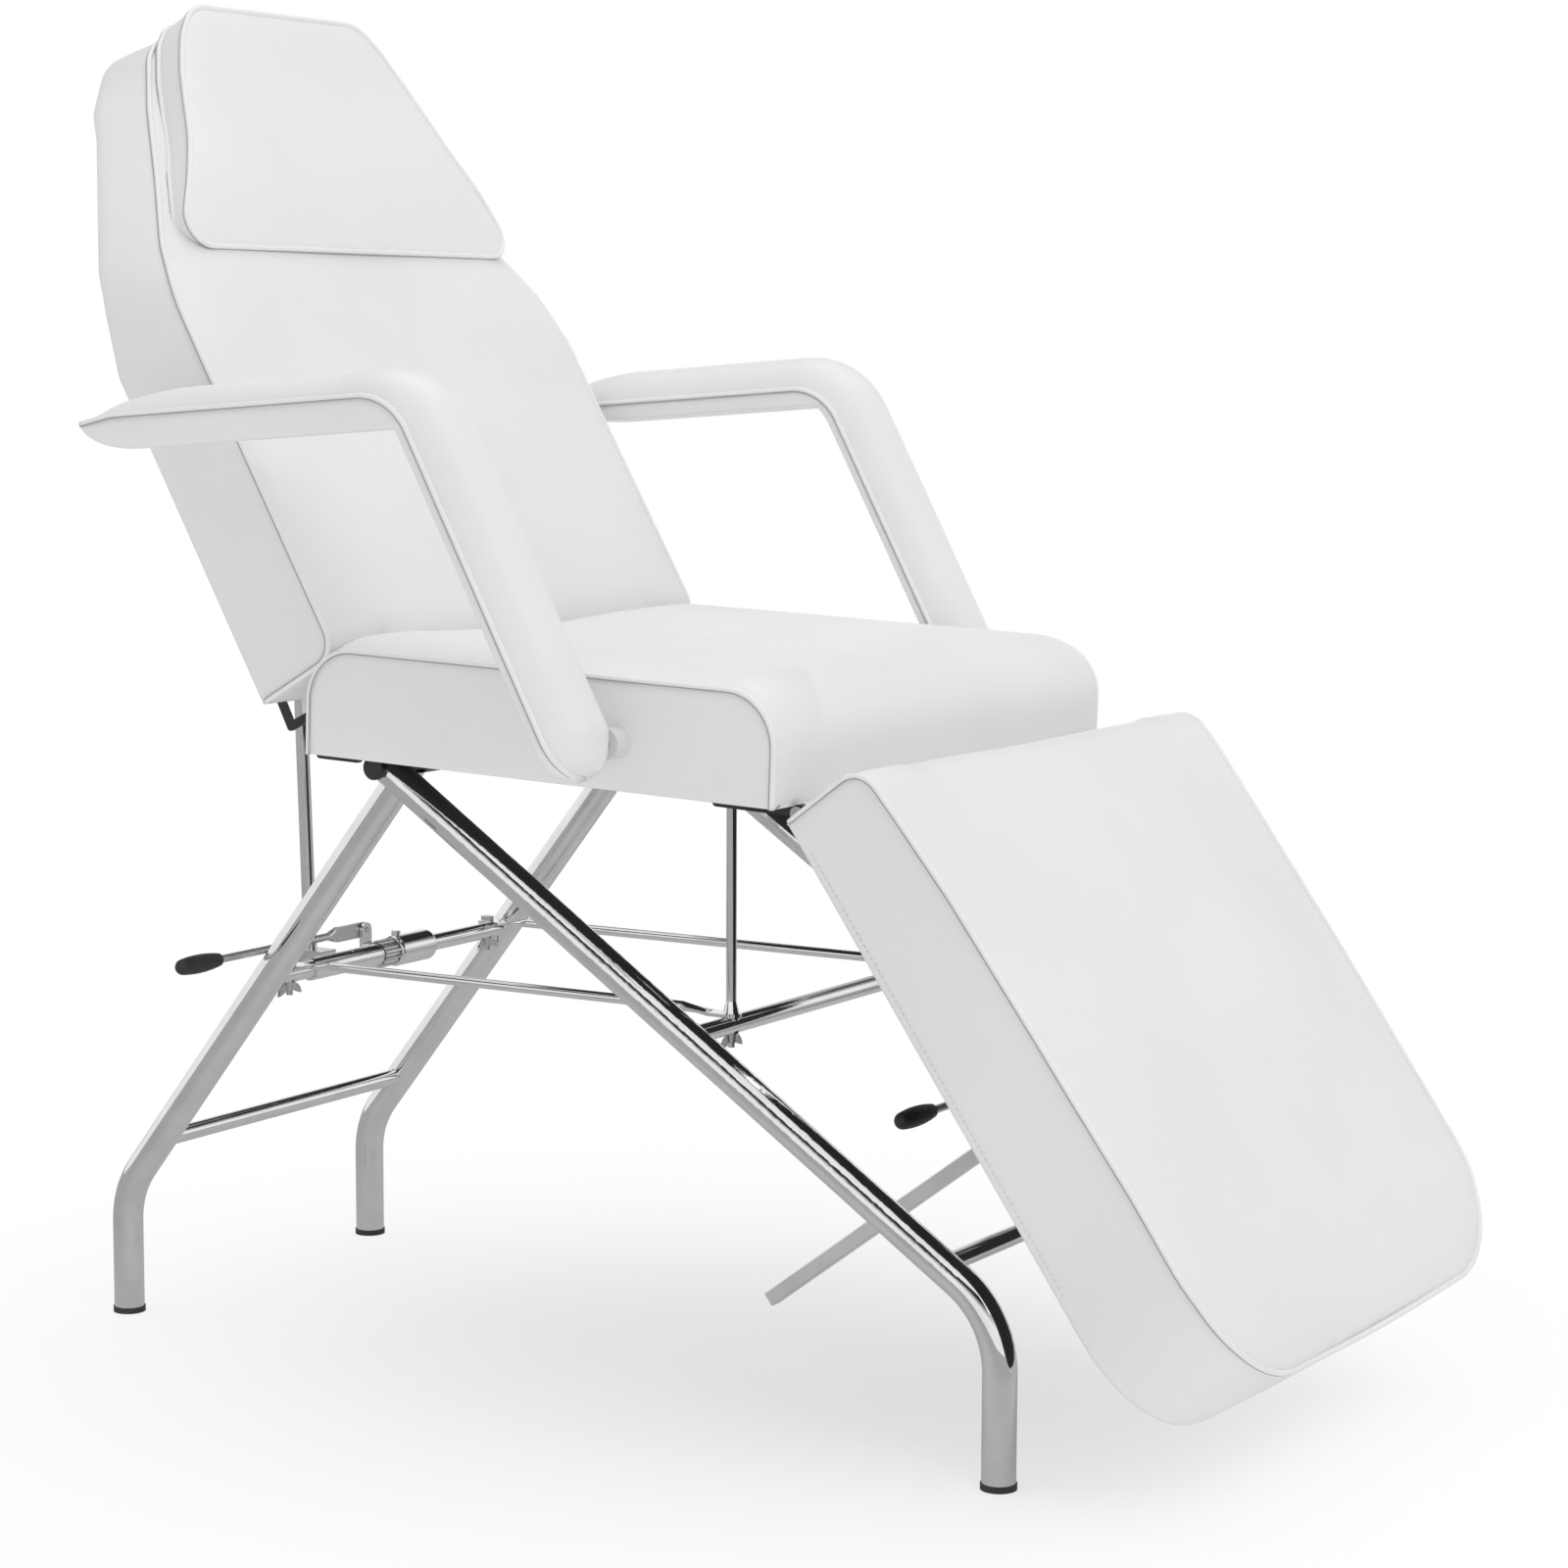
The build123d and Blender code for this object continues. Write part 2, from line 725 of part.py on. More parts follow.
# Head pillow
def pillow_outline(scale):
    """Front outline: wide at the neck, hollow sides, rounded top corners."""
    middle = (pillow_low + pillow_high) / 2

    def at(x, s):
        return (x * scale, middle + (s - middle) * scale)

    with BuildSketch(mode=Mode.PRIVATE) as outline:
        with BuildLine():
            Polyline(
                at(-pillow_high_half, pillow_high),
                at(pillow_high_half, pillow_high),
                at(pillow_high_half, pillow_high - pillow_high_radius),
            )
            ThreePointArc(
                at(pillow_high_half, pillow_high - pillow_high_radius),
                at(pillow_waist_half, pillow_waist_s),
                at(pillow_low_half, pillow_low + pillow_low_radius),
            )
            Polyline(
                at(pillow_low_half, pillow_low + pillow_low_radius),
                at(pillow_low_half, pillow_low),
                at(-pillow_low_half, pillow_low),
                at(-pillow_low_half, pillow_low + pillow_low_radius),
            )
            ThreePointArc(
                at(-pillow_low_half, pillow_low + pillow_low_radius),
                at(-pillow_waist_half, pillow_waist_s),
                at(-pillow_high_half, pillow_high - pillow_high_radius),
            )
            Line(
                at(-pillow_high_half, pillow_high - pillow_high_radius),
                at(-pillow_high_half, pillow_high),
            )
        make_face()
        rows = outline.vertices().group_by(Axis.Y)
        fillet(rows[-1], (pillow_high_radius - pillow_gap) * scale)
        rows = outline.vertices().group_by(Axis.Y)
        fillet(rows[0], (pillow_low_radius - pillow_gap) * scale)
    return outline.sketch


def pillow_front(lift):
    """Front plane of the wedge-shaped pillow, lifted; its coordinates are the backrest's."""
    wedge = atan2(pillow_high_wall - pillow_low_wall, pillow_high - pillow_low)
    rise = radians(backrest_angle) + wedge
    low_n = backrest_crown + pillow_gap + pillow_low_wall
    foot = backrest_face(low_n).from_local_coords((0, pillow_low))
    normal = Vector(0, -sin(rise), cos(rise))
    origin = foot + normal * lift - Vector(0, cos(rise), sin(rise)) * pillow_low
    return Plane(origin=origin, x_dir=(1, 0, 0), z_dir=normal)


with BuildPart() as head_pillow:
    with BuildSketch(backrest_face(backrest_crown + pillow_gap)):
        add(pillow_outline(1))
    with BuildSketch(pillow_front(0)):
        add(pillow_outline(1))
    loft()
    for scale, crown_share in outline_crown_shares:
        with BuildSketch(pillow_front(crown_share * pillow_crown)):
            add(pillow_outline(scale))
    loft()
save(head_pillow.part, "head_pillow")


# Legrest
def legrest_plane(x):
    """Side-view plane of the legrest: local X down its slope, local Y out to its front face."""
    return slope_plane(x, legrest_hinge_y, legrest_hinge_z, legrest_angle)


def legrest_face(n):
    """Plane parallel to the legrest's front: local X across the bed, local Y down the slope."""
    tilt = radians(legrest_angle)
    normal = Vector(0, -sin(tilt), cos(tilt))
    origin = Vector(0, legrest_hinge_y, legrest_hinge_z) + normal * n
    return Plane(origin=origin, x_dir=(-1, 0, 0), z_dir=normal)


def legrest_outline(scale, inset, top):
    """Front outline: straight sides and top, and a bowed lower end with rounded corners."""
    middle = (top + legrest_length) / 2
    half = pad_half_width - inset
    corner_s = legrest_length - legrest_end_bow - inset

    def at(x, s):
        return (x * scale, middle + (s - middle) * scale)

    with BuildSketch(mode=Mode.PRIVATE) as outline:
        with BuildLine():
            Polyline(
                at(-half, corner_s),
                at(-half, top + inset),
                at(half, top + inset),
                at(half, corner_s),
            )
            ThreePointArc(at(half, corner_s), at(0, legrest_length - inset), at(-half, corner_s))
        make_face()
        rows = outline.vertices().group_by(Axis.Y)
        fillet(rows[-1], (legrest_corner_radius - inset) * scale)
    return outline.sketch


with BuildPart() as legrest_board:
    with BuildSketch(legrest_face(legrest_back_n)):
        add(legrest_outline(1, board_inset, legrest_top_s))
    extrude(amount=board_thickness)

with BuildPart() as legrest_cushion:
    with BuildSketch(legrest_face(legrest_back_n)):
        add(legrest_outline(1, 0, legrest_top_s))
    extrude(amount=legrest_front_n - legrest_back_n)
    front_top = legrest_cushion.edges().filter_by(Axis.X).sort_by(Axis.Z)[-1]
    fillet(front_top, legrest_top_round)
    for scale, crown_share in outline_crown_shares:
        with BuildSketch(legrest_face(legrest_front_n + crown_share * legrest_crown)):
            add(legrest_outline(scale, 0, legrest_top_s + legrest_top_round))
    loft()
    add(legrest_board.part, mode=Mode.SUBTRACT)
save(legrest_cushion.part, "legrest_cushion")
save(legrest_board.part, "legrest_board")


# Hinges
def strip(points, width):
    """A flat strap outline: rounded bars between successive points."""
    with BuildSketch(mode=Mode.PRIVATE) as strap:
        for first, second in zip(points, points[1:]):
            run = hypot(second[0] - first[0], second[1] - first[1])
            lean = degrees(atan2(second[1] - first[1], second[0] - first[0]))
            with Locations(((first[0] + second[0]) / 2, (first[1] + second[1]) / 2)):
                SlotCenterToCenter(run, width, rotation=lean)
    return strap.sketch


def local_point(plane, y, z):
    """Side-view coordinates of a place in a pad's own plane."""
    spot = plane.to_local_coords(Vector(plane.origin.X, y, z))
    return (spot.X, spot.Y)


def hinge_ears(plane_of, x, points, hole, flange_start, flange_end, flange_n, flange_side):
    """A strap ear with an eye on each side, and the flange that screws it to a board."""
    with BuildPart() as ears:
        for sign in (-1, 1):
            ear_start = sign * x + ear_thickness / 2 * plane_side(plane_of)
            with BuildSketch(plane_of(ear_start)):
                with Locations(points[0]):
                    Circle(eye_radius)
                add(strip(points, strap_width))
                with Locations(points[0]):
                    Circle(hole, mode=Mode.SUBTRACT)
            extrude(amount=ear_thickness)
            flange_x = sign * (x - flange_width / 2 + ear_thickness / 2)
            with BuildSketch(plane_of(flange_x + flange_width / 2 * plane_side(plane_of))):
                flange_middle = (flange_start + flange_end) / 2
                with Locations((flange_middle, flange_n + flange_side * flange_thickness / 2)):
                    Rectangle(flange_end - flange_start, flange_thickness)
            extrude(amount=flange_width)
    return ears.part


def plane_side(plane_of):
    """Which way a side-view plane looks, reversed: its sections start on that side."""
    return -plane_of(0).z_dir.X


under = -strap_gap - strap_width / 2
front_eye = local_point(seat_plane(0), legrest_hinge_y, legrest_hinge_z)
rear_eye = local_point(seat_plane(0), backrest_hinge_y, backrest_hinge_z)
front_ear_end = front_eye[0] - ear_reach
seat_front_ears = hinge_ears(
    seat_plane,
    seat_ear_x,
    [front_eye, (front_ear_end, under)],
    hinge_pin_radius,
    front_ear_end,
    seat_depth - board_inset,
    0,
    -1,
)
save(seat_front_ears, "seat_front_hinge_ears")

seat_rear_ears = hinge_ears(
    seat_plane,
    seat_ear_x,
    [rear_eye, (rear_eye[0], under), (rear_ear_end, under)],
    hinge_pin_radius,
    board_inset,
    rear_ear_end,
    0,
    -1,
)
save(seat_rear_ears, "seat_rear_hinge_ears")

moving_ear_x = seat_ear_x + ear_step
moving_hole = hinge_pin_radius + running_gap
legrest_under = legrest_back_n - strap_gap - strap_width / 2
legrest_board_start = legrest_top_s + board_inset
legrest_ear_low = legrest_board_start + ear_reach
legrest_ears = hinge_ears(
    legrest_plane,
    moving_ear_x,
    [(0, 0), legrest_ear_knee, (legrest_ear_low, legrest_under)],
    moving_hole,
    legrest_board_start,
    legrest_ear_low,
    legrest_back_n,
    -1,
)
save(legrest_ears, "legrest_hinge_ears")

backrest_eye = local_point(backrest_back_plane(0), backrest_hinge_y, backrest_hinge_z)
backrest_ears = hinge_ears(
    backrest_back_plane,
    moving_ear_x,
    [backrest_eye, (backrest_eye[0] + strap_gap, under), (ear_reach, under)],
    moving_hole,
    board_inset,
    ear_reach,
    0,
    -1,
)
save(backrest_ears, "backrest_hinge_ears")


def hinge_pins(y, z):
    """Headed pins through the fixed and moving ears on both sides."""
    with BuildPart() as pins:
        inner = seat_ear_x - ear_thickness / 2
        outer = moving_ear_x + ear_thickness / 2 + side_gap
        for sign in (-1, 1):
            with Locations(lateral(sign * (inner + outer) / 2, y, z)):
                Cylinder(hinge_pin_radius, outer - inner)
            for head_x in (inner - pin_head_height / 2, outer + pin_head_height / 2):
                with Locations(lateral(sign * head_x, y, z)):
                    Cylinder(pin_head_radius, pin_head_height)
    return pins.part


save(hinge_pins(legrest_hinge_y, legrest_hinge_z), "legrest_hinge_pins")
save(hinge_pins(backrest_hinge_y, backrest_hinge_z), "backrest_hinge_pins")


# Armrests
post_up = Vector(cos(radians(arm_post_angle)), sin(radians(arm_post_angle)))
post_front = Vector(-post_up.Y, post_up.X)
pad_back = Vector(cos(radians(arm_pad_slope)), -sin(radians(arm_pad_slope)))
pad_top = Vector(-pad_back.Y, pad_back.X)
arm_corner = Vector(arm_corner_y, arm_corner_z)


def side_view(x):
    """Side-view plane with local X along +Y and local Y up."""
    return Plane(origin=(x, 0, 0), x_dir=(0, 1, 0), z_dir=(1, 0, 0))


def arm_meeting(front, top):
    """Where lines at these heights over the post front and the pad top cross."""
    turn = post_front.dot(pad_top)
    along_front = (front - top * turn) / (1 - turn * turn)
    along_top = (top - front * turn) / (1 - turn * turn)
    return arm_corner + post_front * along_front + pad_top * along_top


def arm_section(x_share, crown_share):
    """Side profile of an armrest at a share of its width, with that share of its crown."""
    crown = crown_share * arm_crown
    panel = arm_inner_panel + x_share * (arm_outer_panel - arm_inner_panel)
    post_end = arm_corner - post_up * arm_post_length
    shoulder = arm_corner + pad_back * (arm_pad_length * arm_shoulder_share) + pad_top * crown
    tip_top = crown * arm_tip_crown_share - panel * arm_tip_panel_share
    tip = arm_corner + pad_back * arm_pad_length + pad_top * tip_top
    tail_drop = panel * arm_tail_panel_share
    tail = arm_corner + pad_back * (arm_pad_length * arm_tail_share) - pad_top * tail_drop
    under_tail = arm_corner + pad_back * (arm_pad_length * arm_under_share) - pad_top * panel
    elbow = arm_meeting(crown, crown)
    corners = [
        post_end + post_front * crown,
        elbow,
        shoulder,
        tip,
        tail,
        under_tail,
        arm_meeting(-arm_post_panel, -panel),
        post_end - post_front * arm_post_panel,
    ]
    with BuildSketch(mode=Mode.PRIVATE) as section:
        with BuildLine():
            Polyline(*[(corner.X, corner.Y) for corner in corners], close=True)
        make_face()
        fillet(section.vertices().sort_by_distance((elbow.X, elbow.Y))[0], arm_elbow_radius + crown)
    return section.sketch


arm_middle_x = arm_inner_x + arm_width / 2
arm_pivot = (arm_pivot_y, arm_pivot_z)
arm_core_bend = arm_meeting(arm_core_front, -arm_core_drop)
arm_core_tail = arm_corner + pad_back * (arm_pad_length * arm_core_share) - pad_top * arm_core_drop


def armrest_core(sign):
    """Wooden bar that runs up the post and back along the pad, inside the padding."""
    with BuildPart() as core:
        with BuildSketch(side_view(sign * arm_middle_x - arm_core_width / 2)):
            add(
                strip(
                    [arm_pivot, (arm_core_bend.X, arm_core_bend.Y), (arm_core_tail.X, arm_core_tail.Y)],
                    arm_core_width,
                )
            )
            with Locations(arm_pivot):
                Circle(arm_core_end_radius)
            with Locations(arm_pivot):
                Circle(arm_bush_radius, mode=Mode.SUBTRACT)
        extrude(amount=arm_core_width)
    return core.part


def armrest_bush(sign):
    """Metal bush in the core that turns on the armrest stud."""
    with BuildPart() as bush:
        with Locations(lateral(sign * arm_middle_x, arm_pivot_y, arm_pivot_z)):
            Cylinder(arm_bush_radius, arm_core_width)
            Cylinder(arm_bolt_radius + running_gap, arm_core_width, mode=Mode.SUBTRACT)
    return bush.part


def armrest_pad(sign):
    """Padding of one armrest: crowned over the top and front, its lower end rounded."""
    with BuildPart() as pad:
        for x_share, crown_share in arm_crown_shares:
            with BuildSketch(side_view(sign * (arm_inner_x + x_share * arm_width))):
                add(arm_section(x_share, crown_share))
        loft()
        # The lower end is rounded as seen along the post's front normal.
        foot = arm_corner - post_up * arm_post_length
        front = Vector(0, post_front.X, post_front.Y)
        across = Vector(1, 0, 0)
        end_radius = arm_width / 2
        foot_middle = (sign * arm_middle_x, foot.X, foot.Y)
        with BuildSketch(Plane(origin=foot_middle, x_dir=across, z_dir=front)):
            with Locations((0, end_radius / 2)):
                Rectangle(arm_width * 2, end_radius)
            with Locations((0, end_radius)):
                Circle(end_radius, mode=Mode.SUBTRACT)
        extrude(amount=arm_crown * 2, both=True, mode=Mode.SUBTRACT)
        add(armrest_core(sign), mode=Mode.SUBTRACT)
        add(armrest_bush(sign), mode=Mode.SUBTRACT)
        inner_depth = (arm_width + arm_core_width) / 2
        with Locations(lateral(sign * (arm_inner_x + inner_depth / 2), arm_pivot_y, arm_pivot_z)):
            Cylinder(arm_bolt_radius + running_gap, inner_depth, mode=Mode.SUBTRACT)
    return pad.part


for side, sign in (("right", -1), ("left", 1)):
    save(armrest_pad(sign), f"{side}_armrest_pad")
    save(armrest_core(sign), f"{side}_armrest_core")
    save(armrest_bush(sign), f"{side}_armrest_bush")

stud_start = pad_half_width - rail_inset - rail_width
stud_end = arm_middle_x + arm_core_width / 2
with BuildPart() as armrest_studs:
    for sign in (-1, 1):
        with Locations(lateral(sign * (stud_start + stud_end) / 2, arm_pivot_y, arm_pivot_z)):
            Cylinder(arm_bolt_radius, stud_end - stud_start)
save(armrest_studs.part, "armrest_studs")

spacer_length = arm_inner_x - pad_half_width - seat_gap
with BuildPart() as armrest_spacers:
    for sign in (-1, 1):
        with Locations(lateral(sign * (pad_half_width + spacer_length / 2), arm_pivot_y, arm_pivot_z)):
            Cylinder(arm_spacer_radius, spacer_length)
            Cylinder(arm_bolt_radius, spacer_length, mode=Mode.SUBTRACT)
save(armrest_spacers.part, "armrest_spacers")


# Legrest support: a square tube pinned to the legrest that slides through a lock
prop_open = Vector(0, prop_open_y, prop_open_z)
prop_along = (prop_pivot - prop_open).normalized()
front_lock_share = (front_lock_y - prop_open_y) / (prop_pivot_y - prop_open_y)
front_lock = prop_open + (prop_pivot - prop_open) * front_lock_share
lock_plane = Plane(origin=front_lock, x_dir=(1, 0, 0), z_dir=prop_along)

with BuildPart() as legrest_prop:
    with BuildSketch(Plane(origin=prop_open, x_dir=(1, 0, 0), z_dir=prop_along)):
        RectangleRounded(prop_size, prop_size, prop_wall)
        Rectangle(prop_size - prop_wall * 2, prop_size - prop_wall * 2, mode=Mode.SUBTRACT)
    extrude(amount=(prop_pivot - prop_open).length + prop_end_gap)
    with Locations(lateral(0, prop_pivot_y, prop_pivot_z)):
        Cylinder(prop_pin_radius, prop_size * 2, mode=Mode.SUBTRACT)
save(legrest_prop.part, "legrest_prop")

prop_cheek_x = prop_size / 2 + prop_bracket_step
prop_pin_half = prop_cheek_x + bracket_thickness + side_gap

with BuildPart() as legrest_prop_pin:
    with Locations(lateral(0, prop_pivot_y, prop_pivot_z)):
        Cylinder(prop_pin_radius, prop_pin_half * 2)
save(legrest_prop_pin.part, "legrest_prop_pin")


def slotted_bracket(plane_of, middle_x, pivot, slot_way, slot_travel, slot_radius, base_n, cheek_x):
    """Two cheeks on a base plate; each has a slot that the prop's pin can wander in."""
    slot_mid = (pivot[0] + slot_way[0] * slot_travel / 2, pivot[1] + slot_way[1] * slot_travel / 2)
    lean = degrees(atan2(slot_way[1], slot_way[0]))
    side = plane_side(plane_of)
    cheek_edge = slot_radius + bracket_thickness
    with BuildPart() as bracket:
        for sign in (-1, 1):
            cheek_middle = middle_x + sign * (cheek_x + bracket_thickness / 2)
            cheek_start = cheek_middle + side * bracket_thickness / 2
            with BuildSketch(plane_of(cheek_start)):
                with Locations(slot_mid):
                    SlotCenterToCenter(slot_travel, cheek_edge * 2, rotation=lean)
                with Locations((slot_mid[0], (slot_mid[1] + base_n) / 2)):
                    Rectangle(prop_cheek_length, abs(slot_mid[1] - base_n))
                with Locations(slot_mid):
                    SlotCenterToCenter(slot_travel, slot_radius * 2, rotation=lean, mode=Mode.SUBTRACT)
            extrude(amount=bracket_thickness)
        base_half = cheek_x + bracket_width
        with BuildSketch(plane_of(middle_x + side * base_half)):
            with Locations((slot_mid[0], base_n - bracket_thickness / 2)):
                Rectangle(prop_bracket_length, bracket_thickness)
        extrude(amount=base_half * 2)
    return bracket.part


legrest_pivot = local_point(legrest_plane(0), prop_pivot_y, prop_pivot_z)
legrest_prop_bracket = slotted_bracket(
    legrest_plane,
    0,
    legrest_pivot,
    leg_slot_way,
    leg_slot_travel,
    prop_pin_radius + leg_slot_spare,
    legrest_back_n,
    prop_cheek_x,
)
save(legrest_prop_bracket, "legrest_prop_bracket")

# Lock housing that the square prop slides through, with trunnions and the lever's lug
lock_inner = prop_size + lock_gap * 2
lock_outer = lock_inner + lock_wall * 2
front_lever = lock_plane.to_local_coords(Vector(0, front_lever_y, front_lever_z))
lock_front_lug = lug_thickness / 2 + lug_gap

with BuildPart() as legrest_lock:
    with BuildSketch(lock_plane.offset(-lock_length / 2)):
        RectangleRounded(lock_outer, lock_outer, lock_wall / 2)
        Rectangle(lock_inner, lock_inner, mode=Mode.SUBTRACT)
    extrude(amount=lock_length)
    with BuildSketch(lock_plane.offset(-lug_thickness / 2)):
        with Locations((front_lever_pivot_x / 2, (lock_outer / 2 + front_lever.Y) / 2)):
            Rectangle(lever_plate_width - front_lever_pivot_x, front_lever.Y - lock_outer / 2)
        with Locations((front_lever_pivot_x, front_lever.Y)):
            Circle(lever_plate_width / 2)
        with Locations((front_lever_pivot_x, front_lever.Y)):
            Circle(lever_pin_radius, mode=Mode.SUBTRACT)
    extrude(amount=lug_thickness)
    for sign in (-1, 1):
        with Locations(lateral(sign * (lock_outer + trunnion_length) / 2, front_lock.Y, front_lock.Z)):
            Cylinder(trunnion_radius, trunnion_length)
save(legrest_lock.part, "legrest_lock_housing")

# Bracket that carries the lock's trunnions from the lower front crossbar
with BuildPart() as lock_bracket:
    for sign in (-1, 1):
        inner_x = lock_outer / 2 + side_gap
        plate_x = sign * (inner_x + bracket_thickness / 2) - bracket_thickness / 2
        foot = (front_lower_y, front_lower_z)
        with BuildSketch(side_view(plate_x)):
            add(strip([foot, (front_lock.Y, front_lock.Z)], bracket_width))
            with Locations(foot):
                Circle(bracket_eye_radius)
            with Locations(foot):
                Circle(crossbar_radius, mode=Mode.SUBTRACT)
            with Locations((front_lock.Y, front_lock.Z)):
                Circle(trunnion_radius + running_gap, mode=Mode.SUBTRACT)
        extrude(amount=bracket_thickness)
save(lock_bracket.part, "legrest_lock_bracket")


# Backrest support: a round rod that slides through a collar on a turning sleeve
collar_y = rear_upper_y + collar_offset_y
collar_z = rear_upper_z + bracket_thickness
rod_top = Vector(round_prop_x, round_prop_pivot_y, round_prop_pivot_z)
collar_center = Vector(round_prop_x, collar_y, collar_z)
rod_along = (rod_top - collar_center).normalized()
collar_plane = Plane(origin=collar_center, x_dir=(1, 0, 0), z_dir=rod_along)

with BuildPart() as backrest_prop:
    with BuildSketch(collar_plane.offset(-round_prop_low)):
        Circle(round_prop_radius)
    extrude(amount=round_prop_low + (rod_top - collar_center).length + prop_pin_radius * 2)
    with Locations(lateral(round_prop_x, round_prop_pivot_y, round_prop_pivot_z)):
        Cylinder(prop_pin_radius, collar_length * 2, mode=Mode.SUBTRACT)
save(backrest_prop.part, "backrest_prop")

rod_cheek_x = round_prop_radius + prop_bracket_step / 2
rod_pin_half = rod_cheek_x + bracket_thickness + side_gap
with BuildPart() as backrest_prop_pin:
    with Locations(lateral(round_prop_x, round_prop_pivot_y, round_prop_pivot_z)):
        Cylinder(prop_pin_radius, rod_pin_half * 2)
save(backrest_prop_pin.part, "backrest_prop_pin")

backrest_pivot = local_point(backrest_back_plane(0), round_prop_pivot_y, round_prop_pivot_z)
backrest_prop_bracket = slotted_bracket(
    backrest_back_plane,
    round_prop_x,
    backrest_pivot,
    back_slot_way,
    back_slot_travel,
    prop_pin_radius + back_slot_spare,
    0,
    rod_cheek_x,
)
save(backrest_prop_bracket, "backrest_prop_bracket")

# Turning sleeve on the upper rear crossbar, with the lug of the release lever
sleeve_middle = (sleeve_start_x + sleeve_end_x) / 2
with BuildPart() as rear_sleeve:
    with Locations(lateral(sleeve_middle, rear_upper_y, rear_upper_z)):
        Cylinder(sleeve_radius, sleeve_end_x - sleeve_start_x)
    lug_y = rear_lever_y - lever_plate_thickness / 2 - lug_gap
    with BuildSketch(Plane(origin=(0, lug_y, 0), x_dir=(1, 0, 0), z_dir=(0, -1, 0))):
        with Locations((rear_lever_pivot_x, (rear_upper_z + rear_lever_z) / 2)):
            Rectangle(lever_plate_width, rear_lever_z - rear_upper_z)
        with Locations((rear_lever_pivot_x, rear_lever_z)):
            Circle(lever_plate_width / 2)
    extrude(amount=lug_thickness)
    with Locations(lateral(sleeve_middle, rear_upper_y, rear_upper_z)):
        Cylinder(crossbar_radius + running_gap, sleeve_end_x - sleeve_start_x, mode=Mode.SUBTRACT)
    with Locations(Location((rear_lever_pivot_x, lug_y, rear_lever_z), (90, 0, 0))):
        Cylinder(lever_pin_radius, lever_plate_width * 2, mode=Mode.SUBTRACT)
save(rear_sleeve.part, "backrest_lock_sleeve")

# Collar block behind the sleeve
with BuildPart() as prop_collar:
    with BuildSketch(side_view(round_prop_x - collar_length / 2)):
        with Locations(((rear_upper_y + collar_y) / 2 + collar_wall, collar_z)):
            Rectangle(collar_offset_y + collar_wall, collar_length)
        with Locations((collar_y + collar_wall, collar_z)):
            RectangleRounded(round_prop_radius * 2, collar_length, collar_wall)
    extrude(amount=collar_length)
    with Locations(lateral(round_prop_x, rear_upper_y, rear_upper_z)):
        Cylinder(sleeve_radius, collar_length, mode=Mode.SUBTRACT)
    with BuildSketch(collar_plane.offset(-collar_length)):
        Circle(round_prop_radius + running_gap)
    extrude(amount=collar_length * 2, mode=Mode.SUBTRACT)
save(prop_collar.part, "backrest_prop_collar")

# Fixed lock parts on the upper rear crossbar
ring_length = lock_ring_end_x - lock_ring_start_x
with BuildPart() as lock_ring:
    with BuildSketch(side_view(lock_ring_start_x)):
        with Locations((rear_upper_y, rear_upper_z)):
            Circle(lock_ring_radius)
            with PolarLocations(lock_ring_radius, lock_ring_teeth):
                Circle(lock_ring_tooth, mode=Mode.SUBTRACT)
        with Locations((rear_upper_y, rear_upper_z)):
            Circle(crossbar_radius, mode=Mode.SUBTRACT)
    extrude(amount=ring_length)
save(lock_ring.part, "rear_lock_ring")

with BuildPart() as rear_housing:
    with Locations(lateral(housing_end_x / 2, rear_upper_y, rear_upper_z)):
        Cylinder(housing_radius, housing_end_x)
    ends = rear_housing.edges().filter_by(GeomType.CIRCLE)
    fillet(ends, collar_wall)
    with Locations((housing_button_x, rear_upper_y, rear_upper_z + housing_radius + collar_wall / 2)):
        Cylinder(housing_button_radius, collar_wall * 2)
    with Locations(lateral(housing_end_x / 2, rear_upper_y, rear_upper_z)):
        Cylinder(crossbar_radius, housing_end_x, mode=Mode.SUBTRACT)
save(rear_housing.part, "rear_lock_housing")


